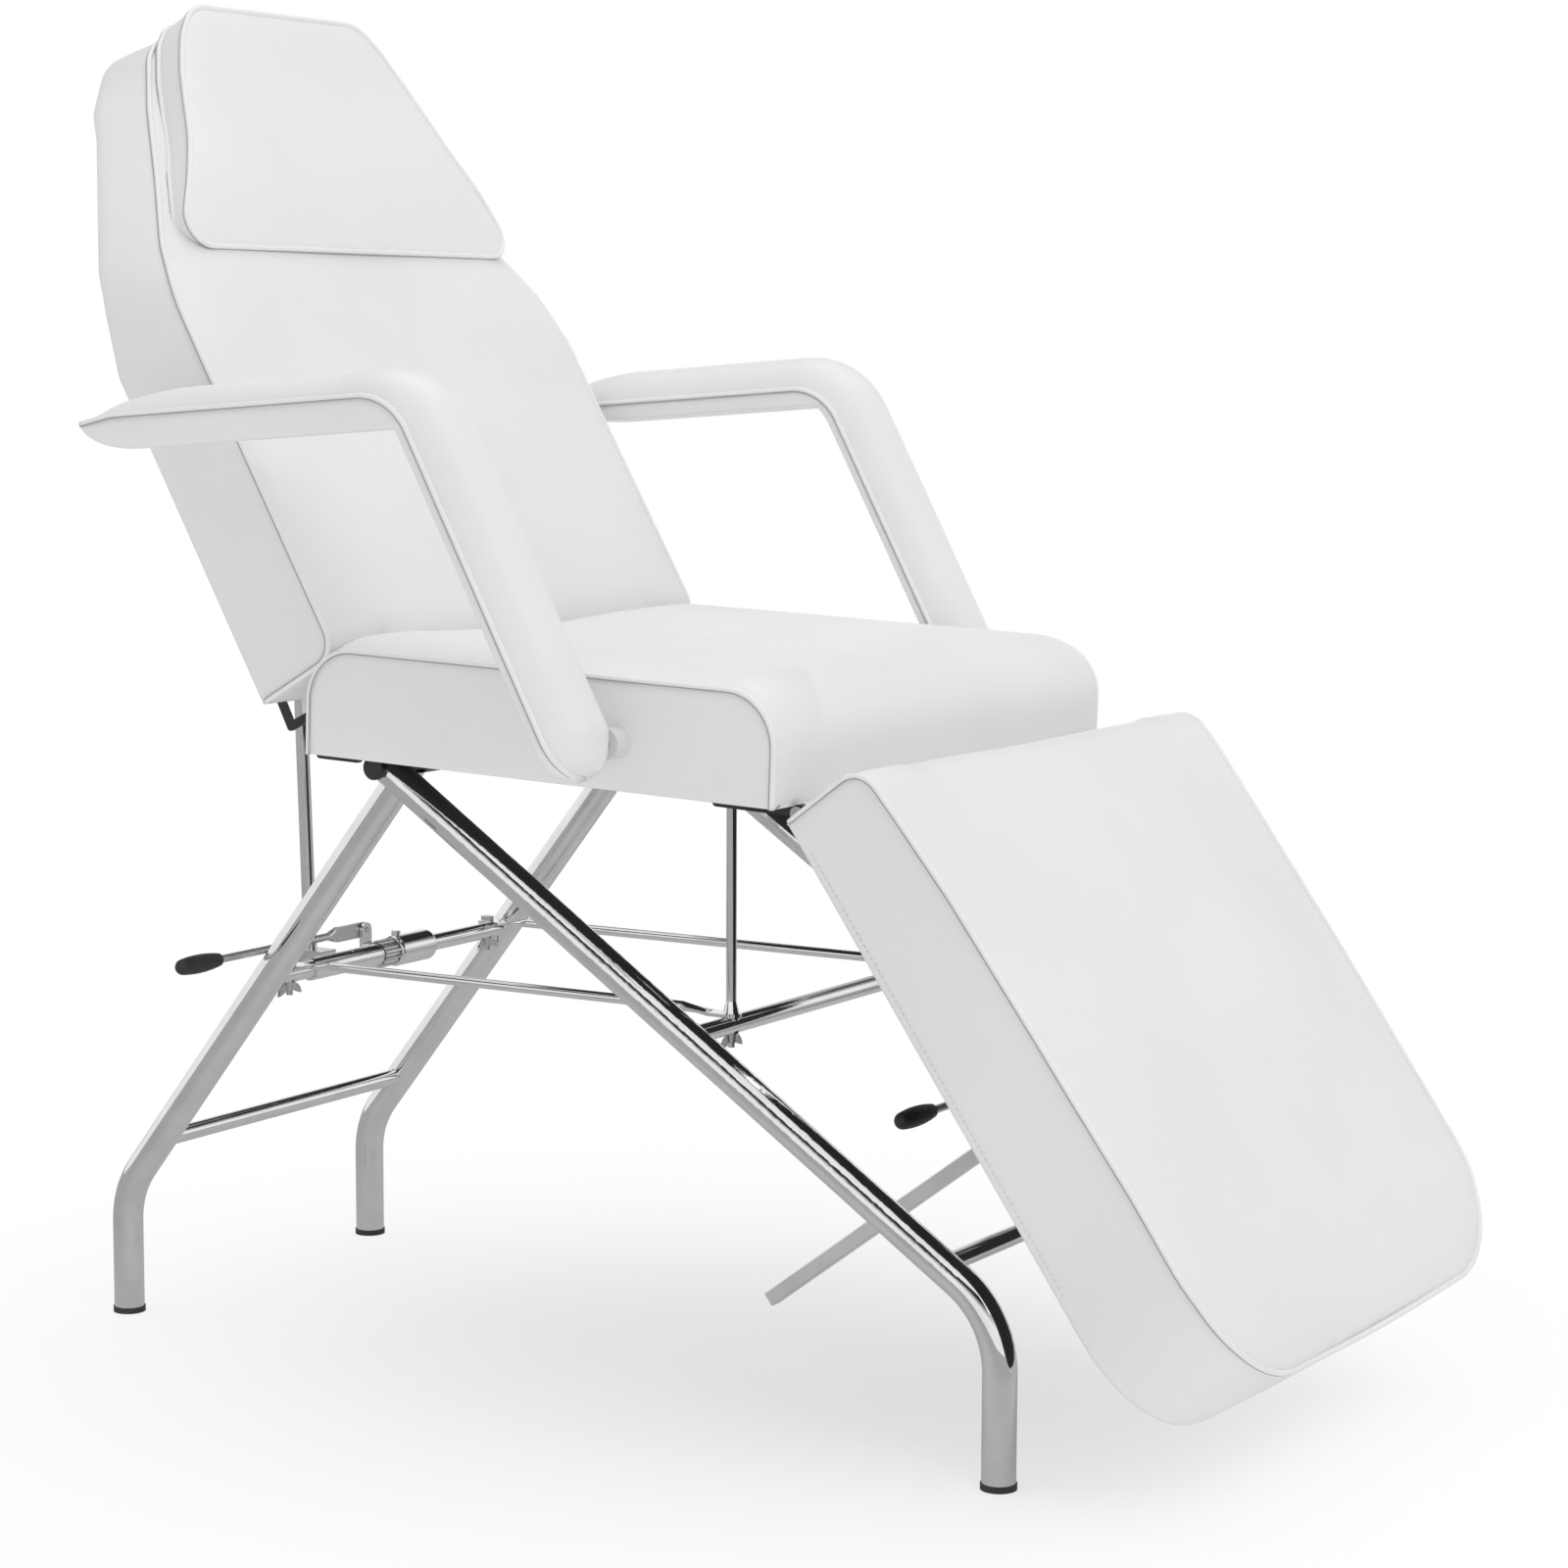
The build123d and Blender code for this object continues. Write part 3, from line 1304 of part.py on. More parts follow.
# Release levers
def lever_blank(plane, pivot_x, pivot_up, plate_start, grip_end_x):
    """A drilled plate with a round rod and a grip, reaching across the bed to -X."""
    plate_end_x = pivot_x - lever_plate_length
    grip_start_x = grip_end_x + grip_length
    plate_middle = plate_start + lever_plate_thickness / 2
    rod_plane = Plane(
        origin=plane.from_local_coords(Vector(plate_end_x, pivot_up, plate_middle)),
        x_dir=plane.y_dir,
        z_dir=(-1, 0, 0),
    )
    with BuildPart() as rod:
        with BuildSketch(plane.offset(plate_start)):
            with Locations((pivot_x, pivot_up)):
                Circle(lever_plate_width / 2)
            with Locations(((pivot_x + plate_end_x) / 2, pivot_up)):
                Rectangle(lever_plate_length, lever_plate_width)
            with Locations((pivot_x, pivot_up)):
                Circle(lever_pin_radius + running_gap, mode=Mode.SUBTRACT)
        extrude(amount=lever_plate_thickness)
        with BuildSketch(rod_plane):
            Rectangle(lever_plate_width, lever_plate_thickness)
        with BuildSketch(rod_plane.offset(lever_plate_width)):
            Circle(lever_rod_radius)
        loft()
        with BuildSketch(rod_plane.offset(lever_plate_width)):
            Circle(lever_rod_radius)
        extrude(amount=plate_end_x - grip_end_x - lever_plate_width - grip_neck)
    with BuildPart() as grip:
        with BuildSketch(Plane(origin=rod_plane.origin, x_dir=(-1, 0, 0), z_dir=(0, 0, 1))):
            start = plate_end_x - grip_start_x
            end = plate_end_x - grip_end_x
            with BuildLine():
                Polyline((end, 0), (start, 0), (start, grip_radius * grip_root_share))
                Spline(
                    (start, grip_radius * grip_root_share),
                    ((start + end) / 2, grip_radius),
                    (end - grip_neck, grip_radius * grip_belly_share),
                )
                ThreePointArc(
                    (end - grip_neck, grip_radius * grip_belly_share),
                    (end - grip_neck * grip_tip_share, grip_radius * grip_end_share),
                    (end, grip_radius * grip_tip_share),
                )
                Line((end, grip_radius * grip_tip_share), (end, 0))
            make_face()
        revolve(axis=Axis(rod_plane.origin, (1, 0, 0)))
        add(rod.part, mode=Mode.SUBTRACT)
    return rod.part, grip.part


rear_lever_plane = Plane(origin=(0, 0, 0), x_dir=(1, 0, 0), z_dir=(0, -1, 0))
rear_rod, rear_grip = lever_blank(
    rear_lever_plane,
    rear_lever_pivot_x,
    rear_lever_z,
    -rear_lever_y - lever_plate_thickness / 2,
    rear_grip_end_x,
)
save(rear_rod, "backrest_lever")
save(rear_grip, "backrest_lever_grip")

front_rod, front_grip = lever_blank(
    lock_plane, front_lever_pivot_x, front_lever.Y, lock_front_lug, front_grip_end_x
)
save(front_rod, "legrest_lever")
save(front_grip, "legrest_lever_grip")

lever_stack = lug_thickness + lug_gap + lever_plate_thickness
with BuildPart() as backrest_lever_pin:
    pin_start = -rear_lever_y - lever_plate_thickness / 2 - side_gap
    with BuildSketch(rear_lever_plane.offset(pin_start)):
        with Locations((rear_lever_pivot_x, rear_lever_z)):
            Circle(lever_pin_radius)
    extrude(amount=lever_stack + side_gap * 2)
    with BuildSketch(rear_lever_plane.offset(pin_start - lever_pin_radius)):
        with Locations((rear_lever_pivot_x, rear_lever_z)):
            Circle(lever_pin_radius * 2)
    extrude(amount=lever_pin_radius)
save(backrest_lever_pin.part, "backrest_lever_pin")

with BuildPart() as legrest_lever_pin:
    with BuildSketch(lock_plane.offset(-lug_thickness / 2 - side_gap)):
        with Locations((front_lever_pivot_x, front_lever.Y)):
            Circle(lever_pin_radius)
    extrude(amount=lever_stack + side_gap * 2)
    with BuildSketch(lock_plane.offset(-lug_thickness / 2 + lever_stack + side_gap)):
        with Locations((front_lever_pivot_x, front_lever.Y)):
            Circle(lever_pin_radius * 2)
    extrude(amount=lever_pin_radius)
save(legrest_lever_pin.part, "legrest_lever_pin")


# Front strut: its lower stud goes through the spreader rod's plate and the crossbar
strut_seat_z = front_bar_seat + spreader_plate_thickness
strut_top_z = seat_base_z(front_upper_y)
with BuildPart() as front_strut:
    with Locations((-spreader_x, front_upper_y, strut_seat_z)):
        Cone(
            strut_collar_radius,
            front_strut_radius,
            strut_collar_height,
            align=(Align.CENTER, Align.CENTER, Align.MIN),
        )
        Cylinder(
            front_strut_radius,
            strut_top_z - strut_seat_z - flange_thickness / 2,
            align=(Align.CENTER, Align.CENTER, Align.MIN),
        )
        Cylinder(bolt_radius, shank_length, align=(Align.CENTER, Align.CENTER, Align.MAX))
    strut_local = local_point(seat_plane(0), front_upper_y, strut_top_z)
    with BuildSketch(seat_plane(-spreader_x + strut_plate / 2)):
        with Locations((strut_local[0], -flange_thickness / 2)):
            Rectangle(strut_plate, flange_thickness)
    extrude(amount=strut_plate)
save(front_strut.part, "seat_strut")
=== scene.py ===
import json
import math

import bmesh
import bpy
import numpy as np
from mathutils import Matrix, Vector


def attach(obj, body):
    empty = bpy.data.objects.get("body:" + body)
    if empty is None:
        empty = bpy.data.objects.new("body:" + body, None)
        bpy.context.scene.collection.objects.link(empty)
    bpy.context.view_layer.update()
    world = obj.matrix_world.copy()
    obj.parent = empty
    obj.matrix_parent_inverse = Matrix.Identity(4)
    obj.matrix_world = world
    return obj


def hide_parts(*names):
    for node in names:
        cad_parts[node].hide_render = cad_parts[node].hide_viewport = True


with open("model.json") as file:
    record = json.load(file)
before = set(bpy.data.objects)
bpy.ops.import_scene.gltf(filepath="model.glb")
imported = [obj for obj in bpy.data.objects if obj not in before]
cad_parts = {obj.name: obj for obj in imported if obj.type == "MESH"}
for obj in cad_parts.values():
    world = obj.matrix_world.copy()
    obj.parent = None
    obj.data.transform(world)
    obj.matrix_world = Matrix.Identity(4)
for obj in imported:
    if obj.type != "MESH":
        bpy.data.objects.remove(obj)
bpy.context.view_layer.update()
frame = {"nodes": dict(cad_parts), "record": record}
nodes = frame["nodes"]

# Metres in the part's own frame: +Z up, legrest towards -Y, sitter's right at -X.
# Lengths below are in millimetres, in the axes that the camera was fitted in. SHIFT_Y takes
# these to the part's origin.
MM = 0.001
SHIFT_Y = 0.30683


def noise(x, y, z, seed=0.0):
    """Smooth repeatable waves in place of random wrinkles."""
    a = math.sin(x * 1.7 + y * 2.3 + z * 1.1 + seed)
    b = math.sin(x * 3.1 - y * 1.9 + z * 2.7 + seed * 2.1)
    c = math.sin(-x * 2.2 + y * 4.3 - z * 3.3 + seed * 3.7)
    return (a + b * 0.6 + c * 0.4) / 2.0


# Materials
def grey(value):
    return (value, value, value)


def add_node(tree, kind, values=None):
    """A shader node, with values for its named inputs."""
    node = tree.nodes.new("ShaderNode" + kind)
    for socket, value in (values or {}).items():
        node.inputs[socket].default_value = value
    return node


def new_material(name):
    """A material with its node tree and its shader."""
    mat = bpy.data.materials.new(name)
    mat.use_nodes = True
    tree = mat.node_tree
    return mat, tree, tree.nodes["Principled BSDF"]


def coords(tree):
    """Object coordinates, the same in metres for every piece."""
    return add_node(tree, "TexCoord").outputs["Object"]


def clouds(tree, vector, scale, detail=4.0, rough=0.5):
    """Noise from 0 to 1 with about scale waves to the metre."""
    tex = add_node(tree, "TexNoise", {"Scale": scale, "Detail": detail, "Roughness": rough})
    tree.links.new(vector, tex.inputs["Vector"])
    return tex.outputs["Fac"]


def ramp(tree, source, stops):
    """Colours over source, from (place, colour) stops."""
    node = add_node(tree, "ValToRGB")
    elements = node.color_ramp.elements
    for element, (place, colour) in ((elements[0], stops[0]), (elements[1], stops[-1])):
        element.position = place
        element.color = (*colour, 1)
    for place, colour in stops[1:-1]:
        elements.new(place).color = (*colour, 1)
    tree.links.new(source, node.inputs["Fac"])
    return node.outputs["Color"]


def drive(tree, shader, socket, source, stops):
    """Sets one of the shader's values by a ramp over source."""
    tree.links.new(ramp(tree, source, stops), shader.inputs[socket])


def bump(tree, shader, height, strength, distance, below=None):
    """Relief on the shader, laid over an earlier one where below is given."""
    node = add_node(tree, "Bump", {"Strength": strength, "Distance": distance})
    tree.links.new(height, node.inputs["Height"])
    if below is not None:
        tree.links.new(below, node.inputs["Normal"])
    tree.links.new(node.outputs["Normal"], shader.inputs["Normal"])
    return node.outputs["Normal"]


def leatherette(name, shade, rough, wrinkle):
    """Coated cloth: faint clouds, fine pores and soft wrinkles."""
    mat, tree, shader = new_material(name)
    at = coords(tree)
    dark = tuple(c * 0.97 for c in shade)
    light = tuple(min(1.0, c * 1.015) for c in shade)
    drive(tree, shader, "Base Color", clouds(tree, at, 3.5, 3.0), [(0.35, dark), (0.65, light)])
    sheen = [(0.3, grey(rough - 0.06)), (0.7, grey(rough + 0.07))]
    drive(tree, shader, "Roughness", clouds(tree, at, 9.0, 3.0), sheen)
    shader.inputs["IOR"].default_value = 1.48
    shader.inputs["Specular IOR Level"].default_value = 0.38
    pores = add_node(tree, "TexVoronoi", {"Scale": 620.0})
    pores.feature = "DISTANCE_TO_EDGE"
    tree.links.new(at, pores.inputs["Vector"])
    grain = ramp(tree, pores.outputs["Distance"], [(0.0, grey(0)), (0.22, grey(1))])
    soft = bump(tree, shader, clouds(tree, at, 26.0, 4.0, 0.55), wrinkle, 0.004)
    bump(tree, shader, grain, 0.16, 0.00035, soft)
    return mat


def metal(name, colour, rough, scratch, streak):
    """Bare or plated metal with worn patches, smears and fine scratches."""
    mat, tree, shader = new_material(name)
    at = coords(tree)
    shader.inputs["Metallic"].default_value = 1.0
    worn = tuple(c * 0.93 for c in colour)
    drive(tree, shader, "Base Color", clouds(tree, at, 30.0, 5.0), [(0.3, worn), (0.62, colour)])
    smear = [(0.35, grey(rough)), (0.75, grey(rough + streak))]
    drive(tree, shader, "Roughness", clouds(tree, at, 85.0, 6.0, 0.6), smear)
    bump(tree, shader, clouds(tree, at, 420.0, 6.0, 0.7), scratch, 0.0002)
    return mat


def coated(name, colour, rough, grain, scale, lift):
    """Paint, rubber, plastic, thread or the painted seam shade: lift fades its colour, grain and
    scale set its skin.
    """
    mat, tree, shader = new_material(name)
    at = coords(tree)
    faded = tuple(min(1.0, c * lift + 0.004) for c in colour)
    drive(tree, shader, "Base Color", clouds(tree, at, 24.0, 5.0), [(0.38, colour), (0.72, faded)])
    patch = [(0.3, grey(rough - 0.05)), (0.7, grey(rough + 0.1))]
    drive(tree, shader, "Roughness", clouds(tree, at, 60.0, 4.0), patch)
    bump(tree, shader, clouds(tree, at, scale, 6.0, 0.65), grain, 0.0006)
    return mat


def board(name):
    """A board under black dust cloth, with its weave."""
    mat, tree, shader = new_material(name)
    at = coords(tree)
    bands = add_node(tree, "TexWave", {"Scale": 9.0, "Distortion": 5.0, "Detail": 4.0})
    tree.links.new(at, bands.inputs["Vector"])
    cloth = [(0.2, grey(0.013)), (0.8, (0.017, 0.017, 0.016))]
    drive(tree, shader, "Base Color", bands.outputs["Fac"], cloth)
    shader.inputs["Roughness"].default_value = 0.86
    bump(tree, shader, clouds(tree, at, 900.0, 2.0), 0.35, 0.0005)
    return mat


leather = leatherette("white_leatherette", grey(0.84), 0.46, 0.10)
piping_mat = leatherette("white_piping", grey(0.86), 0.40, 0.05)
# Dark grey for the thin bead beside each piping: painted shade for the shadow in the seam's crease
seam_shadow_mat = coated("seam_shadow", grey(0.38), 0.7, 0.4, 1200.0, 1.15)
stitch_mat = coated("white_thread", grey(0.74), 0.6, 0.6, 1500.0, 1.05)
finish = {
    "chrome": metal("chrome", (0.83, 0.84, 0.85), 0.05, 0.05, 0.07),
    "zinc_steel": metal("zinc_steel", (0.62, 0.63, 0.64), 0.2, 0.2, 0.14),
    "black_steel": coated("black_steel", grey(0.014), 0.32, 0.2, 700.0, 1.8),
    "black_rubber": coated("black_rubber", (0.016, 0.016, 0.017), 0.55, 0.4, 900.0, 2.2),
    "black_plastic": coated("black_plastic", grey(0.016), 0.42, 0.25, 900.0, 1.8),
    "white_plastic": coated("white_plastic", (0.7, 0.7, 0.69), 0.4, 0.15, 500.0, 1.0),
    "plywood": board("board_and_dust_cloth"),
    "brass_bush": metal("brass_bush", (0.68, 0.5, 0.22), 0.25, 0.2, 0.1),
    "white_leatherette": leather,
}
slot_of = {row["node"]: row["material_slot"] for row in frame["record"]["subparts"]}
for name, node in nodes.items():
    node.data.materials.clear()
    node.data.materials.append(finish[slot_of[name]])


# Padding
class Slope:
    """A pad's own side-view plane: s along it, n out of its face, and x across the bed."""

    def __init__(self, y, z, along, out):
        self.origin = Vector((0, y * MM + SHIFT_Y, z * MM))
        self.along = Vector((0, along[0], along[1]))
        self.out = Vector((0, out[0], out[1]))

    def at(self, x, s, n):
        return self.origin + Vector((x * MM, 0, 0)) + self.along * (s * MM) + self.out * (n * MM)


def lean(angle):
    """Cosine and sine of an angle in degrees."""
    return math.cos(math.radians(angle)), math.sin(math.radians(angle))


def forward_slope(y, z, angle):
    """A face that looks up, its s running forward and down by angle."""
    c, s = lean(angle)
    return Slope(y, z, (-c, -s), (-s, c))


def rising_slope(y, z, angle):
    """A face that looks up and forward, its s running back and up by angle."""
    c, s = lean(angle)
    return Slope(y, z, (c, s), (-s, c))


def rounded(points, radii, step=4.0, closed=False):
    """A line of straight runs with rounded corners, evenly sampled."""
    out = []
    count = len(points)
    for i, p in enumerate(points):
        p = np.array(p, float)
        end = (i == 0 or i == count - 1) and not closed
        if end or radii[i] == 0:
            out.append(p)
            continue
        a = np.array(points[i - 1], float) - p
        b = np.array(points[(i + 1) % count], float) - p
        la, lb = np.linalg.norm(a), np.linalg.norm(b)
        a, b = a / la, b / lb
        half = math.acos(max(-1, min(1, float(a @ b)))) / 2
        cut = min(radii[i] / math.tan(half), la * 0.49, lb * 0.49)
        r = cut * math.tan(half)
        centre = p + (a + b) / np.linalg.norm(a + b) * (r / math.sin(half))
        start, end = p + a * cut, p + b * cut
        v0, v1 = start - centre, end - centre
        a0 = math.atan2(v0[1], v0[0])
        turn = math.atan2(v0[0] * v1[1] - v0[1] * v1[0], float(v0 @ v1))
        steps = max(4, int(abs(turn) * r / step))
        for k in range(steps + 1):
            t = a0 + turn * k / steps
            out.append(centre + r * np.array([math.cos(t), math.sin(t)]))
    if closed:
        out.append(out[0])
    dense = [out[0]]
    for p, q in zip(out, out[1:]):
        steps = max(1, int(float(np.linalg.norm(q - p)) / (step * 1.6)))
        for k in range(1, steps + 1):
            dense.append(p + (q - p) * k / steps)
    return np.array(dense[:-1] if closed else dense)


def outward(path):
    """Unit normals on the left of a path as it runs."""
    d = np.gradient(path, axis=0)
    d /= np.maximum(np.linalg.norm(d, axis=1, keepdims=True), 1e-9)
    return np.stack([-d[:, 1], d[:, 0]], axis=1)


class Wrap:
    """A cover panel laid along a side profile: a is the distance along it from its start.

    back(s) is the height n of the pad's back.
    """

    def __init__(self, slope, path, back):
        self.slope = slope
        self.path = path
        self.normal = outward(path)
        self.run = np.concatenate([[0], np.cumsum(np.linalg.norm(np.diff(path, axis=0), axis=1))])
        self.back = back

    def spot(self, a):
        """Place (s, n) on the profile and its outward normal."""
        s = float(np.interp(a, self.run, self.path[:, 0]))
        n = float(np.interp(a, self.run, self.path[:, 1]))
        out = np.array([np.interp(a, self.run, self.normal[:, k]) for k in range(2)])
        return s, n, out / np.linalg.norm(out)

    def at(self, x, a, lift=0.0):
        """A point on the panel, raised by lift."""
        s, n, out = self.spot(a)
        return self.slope.at(x, s + out[0] * lift, n + out[1] * lift)

    def wall(self, x, a, share, out_x, out_s, behind=0.0):
        """A point under the panel, at a share of the way to the back."""
        s, n, _ = self.spot(a)
        return self.slope.at(x + out_x, s + out_s, n + (self.back(s) - n) * share - behind)

    def depth(self, a):
        """How far the back lies under the panel."""
        s, n, _ = self.spot(a)
        return n - self.back(s)


def add_object(name, data):
    obj = bpy.data.objects.new(name, data)
    bpy.context.scene.collection.objects.link(obj)
    return obj


def mesh_object(name, verts, faces, mat):
    """A smooth mesh object with its seams closed and its normals outward."""
    mesh = bpy.data.meshes.new(name)
    mesh.from_pydata(verts, [], faces)
    bm = bmesh.new()
    bm.from_mesh(mesh)
    bmesh.ops.remove_doubles(bm, verts=bm.verts, dist=1e-5)
    bmesh.ops.recalc_face_normals(bm, faces=bm.faces)
    for face in bm.faces:
        face.smooth = True
    bm.to_mesh(mesh)
    bm.free()
    mesh.materials.append(mat)
    return add_object(name, mesh)


def rim_distance(points, ring):
    """Shortest distance from each point to a closed line of points."""
    a = ring
    b = np.roll(ring, -1, axis=0)
    ab = b - a
    length = np.maximum((ab**2).sum(axis=1), 1e-9)
    best = []
    for p in points:
        t = np.clip(((p - a) * ab).sum(axis=1) / length, 0, 1)
        best.append(math.sqrt(float(((p - a - ab * t[:, None]) ** 2).sum(axis=1).min())))
    return best


def ring_normals(ring):
    """Outward unit normals of a closed line that runs anticlockwise."""
    d = np.roll(ring, -1, axis=0) - np.roll(ring, 1, axis=0)
    d /= np.maximum(np.linalg.norm(d, axis=1, keepdims=True), 1e-9)
    return np.stack([d[:, 1], -d[:, 0]], axis=1)


# Rows of a pad's front panel, as shares of the way from its rim to its centre
PANEL_ROWS = [0, 0.006, 0.014, 0.026, 0.042, 0.062, 0.088, 0.12, 0.16, 0.21, 0.27, 0.34]
PANEL_ROWS += [0.42, 0.50, 0.58, 0.66, 0.74, 0.82, 0.90, 0.96]
# Rows of its wall, as shares of the way from the rim to the back
WALL_ROWS = [0, 0.03, 0.08, 0.16, 0.28, 0.42, 0.56, 0.70, 0.82, 0.91, 0.97, 1]
# The cover turned in at the back: how far in from the edge, and how far above the back's plane
TURNED_IN = ((7.0, 0.0), (12.0, 1.0), (17.0, 4.0))
BACK_ROWS, BACK_TUCK = (0.3, 0.7), 4.0
# The seam's drawn-in strip, the puckers beside it, the panel's slow waves and the wall's
SEAM_DIP, SEAM_REACH = 0.9, 5.0
PUCKER, PUCKER_REACH, PUCKER_WAVES = 0.55, 26.0, 0.06
SWELL, SWELL_REACH, SWELL_WAVES = 0.5, 80.0, 0.011
WALL_SWELL, WALL_WAVES = 0.4, 0.02
# A wall bulges whole from WHOLE_DEPTH on, and along the pad only from THIN_DEPTH on
WHOLE_DEPTH, THIN_DEPTH = 60.0, 20.0
# Its last tenth turns in towards the back
TURN_FROM, TURN_RATE = 0.9, 20.0
# The profile counts as the pad's front face where more than this of its normal points out of it
FACE_ON = 0.9


def build_pad(name, wrap, ring, centre, crown, puff=1.2, seed=1.0, base=None, lip=None):
    """A padded piece: a crowned front panel, a soft wall round it and a back turned in.

    ring is the outline as (x, a) laid flat; crown gives the lift at (x, a, rim distance).
    base is the outline at the back where it differs; lip is how far the rear edge stands out.
    """
    base = ring if base is None else base
    centre = np.array(centre, float)
    verts, faces = [], []
    count = len(ring)
    normals = ring_normals(ring)

    def stitch_rows(first, second):
        for k in range(count):
            q = (k + 1) % count
            faces.append((first + k, first + q, second + q, second + k))

    def close_up(start, tip):
        verts.append(tip)
        for k in range(count):
            faces.append((start + k, start + (k + 1) % count, len(verts) - 1))

    for share in PANEL_ROWS:
        flat = centre + (ring - centre) * (1 - share)
        away = rim_distance(flat, ring)
        for (x, a), d in zip(flat, away):
            near = min(d / PUCKER_REACH, 1.0)
            creased = noise(x * PUCKER_WAVES, a * PUCKER_WAVES, seed, seed)
            pucker = PUCKER * near * (1 - near) * 4 * creased
            slow = noise(x * SWELL_WAVES, a * SWELL_WAVES, seed * 1.7)
            swell = SWELL * min(d / SWELL_REACH, 1.0) * slow
            dip = -SEAM_DIP * max(0.0, 1 - d / SEAM_REACH)
            verts.append(wrap.at(x, a, crown(x, a, d) + pucker + swell + dip))
    for row in range(len(PANEL_ROWS) - 1):
        stitch_rows(row * count, (row + 1) * count)
    close_up((len(PANEL_ROWS) - 1) * count, wrap.at(*centre, crown(*centre, 1e3)))

    wall_start = len(verts)
    for v in WALL_ROWS:
        arch = math.sin(math.pi * v)
        for (x, a), (nx, na) in zip(ring + (base - ring) * v, normals):
            deep = wrap.depth(a)
            whole = min(1.0, deep / WHOLE_DEPTH)
            bulge = puff * arch * whole
            bulge += WALL_SWELL * arch * noise(a * WALL_WAVES, x * WALL_WAVES, v * 2.0, seed)
            drawn_in = SEAM_DIP * max(0.0, 1 - v * deep / SEAM_REACH)
            bulge -= drawn_in + TURN_RATE * max(0.0, v - TURN_FROM) * whole
            s, _, face = wrap.spot(a)
            along = na * bulge if deep > THIN_DEPTH and abs(face[1]) > FACE_ON else 0.0
            out = lip(s) * v if lip else 0.0
            verts.append(wrap.wall(x, a, v, nx * bulge, along, out))
    for row in range(len(WALL_ROWS) - 1):
        stitch_rows(wall_start + row * count, wall_start + (row + 1) * count)

    back_start = len(verts) - count
    normals = ring_normals(base)
    for inset, tuck in TURNED_IN:
        for (x, a), (nx, na) in zip(base, normals):
            level = lip(wrap.spot(a)[0]) if lip and tuck == 0 else -tuck
            verts.append(wrap.wall(x - nx * inset, a - na * inset, 1, 0, 0, level))
    for share in BACK_ROWS:
        for x, a in centre + (base - centre) * (1 - share):
            verts.append(wrap.wall(x, a, 1, 0, 0, -BACK_TUCK))
    rows = len(TURNED_IN) + len(BACK_ROWS)
    for row in range(rows):
        stitch_rows(back_start + row * count, back_start + (row + 1) * count)
    close_up(back_start + rows * count, wrap.wall(*centre, 1, 0, 0, -BACK_TUCK))
    return mesh_object(name, verts, faces, leather)


def tube(name, points, radius, mat, ring=10, closed=False):
    """A round bead along a line of points."""
    points = [Vector(p) for p in points]
    verts, faces = [], []
    count = len(points)
    up = None
    for i, p in enumerate(points):
        before = points[i - 1] if (i > 0 or closed) else p
        after = points[(i + 1) % count] if (i < count - 1 or closed) else p
        way = (after - before).normalized()
        if up is None:
            up = way.orthogonal().normalized()
        up = (up - way * up.dot(way)).normalized()
        side = way.cross(up)
        for k in range(ring):
            t = 2 * math.pi * k / ring
            verts.append(p + (up * math.cos(t) + side * math.sin(t)) * radius)
    last = count if closed else count - 1
    for i in range(last):
        for k in range(ring):
            a = i * ring + k
            b = i * ring + (k + 1) % ring
            c = ((i + 1) % count) * ring + (k + 1) % ring
            d = ((i + 1) % count) * ring + k
            faces.append((a, b, c, d))
    if not closed:
        faces.append(tuple(range(ring - 1, -1, -1)))
        faces.append(tuple((count - 1) * ring + k for k in range(ring)))
    return mesh_object(name, verts, faces, mat)


def join(name, pieces):
    """Several beads made into one object."""
    bm = bmesh.new()
    mats = []
    for piece in pieces:
        mat = piece.data.materials[0]
        if mat not in mats:
            mats.append(mat)
        start = len(bm.faces)
        bm.from_mesh(piece.data)
        bm.faces.ensure_lookup_table()
        for face in bm.faces[start:]:
            face.material_index = mats.index(mat)
    mesh = bpy.data.meshes.new(name)
    bm.to_mesh(mesh)
    bm.free()
    for mat in mats:
        mesh.materials.append(mat)
    for piece in pieces:
        old = piece.data
        bpy.data.objects.remove(piece)
        bpy.data.meshes.remove(old)
    return add_object(name, mesh)


def stitches(line):
    """Short thread dashes laid along a line."""
    pieces = []
    total, marks = 0.0, [0.0]
    for p, q in zip(line, line[1:]):
        total += (q - p).length
        marks.append(total)

    def at(d):
        for i in range(len(marks) - 1):
            if d <= marks[i + 1]:
                run = marks[i + 1] - marks[i]
                return line[i].lerp(line[i + 1], (d - marks[i]) / run if run > 0 else 0)
        return line[-1]

    d = STITCH_PITCH * 0.5
    while d + STITCH < total:
        dash = [at(d), at(d + STITCH * 0.5), at(d + STITCH)]
        pieces.append(tube("dash", dash, THREAD, stitch_mat, ring=6))
        d += STITCH_PITCH
    return pieces


# Radii of the bead, the dark bead beside it that is painted shade for the seam's shadow, and the
# thread
PIPE = 2.7 * MM
SEAM_SHADE = 0.8 * MM
THREAD = 0.45 * MM
STITCH, STITCH_PITCH = 3.6 * MM, 6.4 * MM


def seam_pieces(points, outs, ins, closed=False):
    """Piping bead and a thin dark bead beside it, on the side that outs names: painted shade for
    the shadow in the seam.
    """
    bead = [p + (o - i) * 0.3 * MM for p, o, i in zip(points, outs, ins)]
    seam_shade_line = [p + o * 0.75 * PIPE - i * 0.95 * PIPE for p, o, i in zip(points, outs, ins)]
    return [
        tube("bead", bead, PIPE, piping_mat, closed=closed),
        tube("seam_shade_line", seam_shade_line, SEAM_SHADE, seam_shadow_mat, 6, closed),
    ]


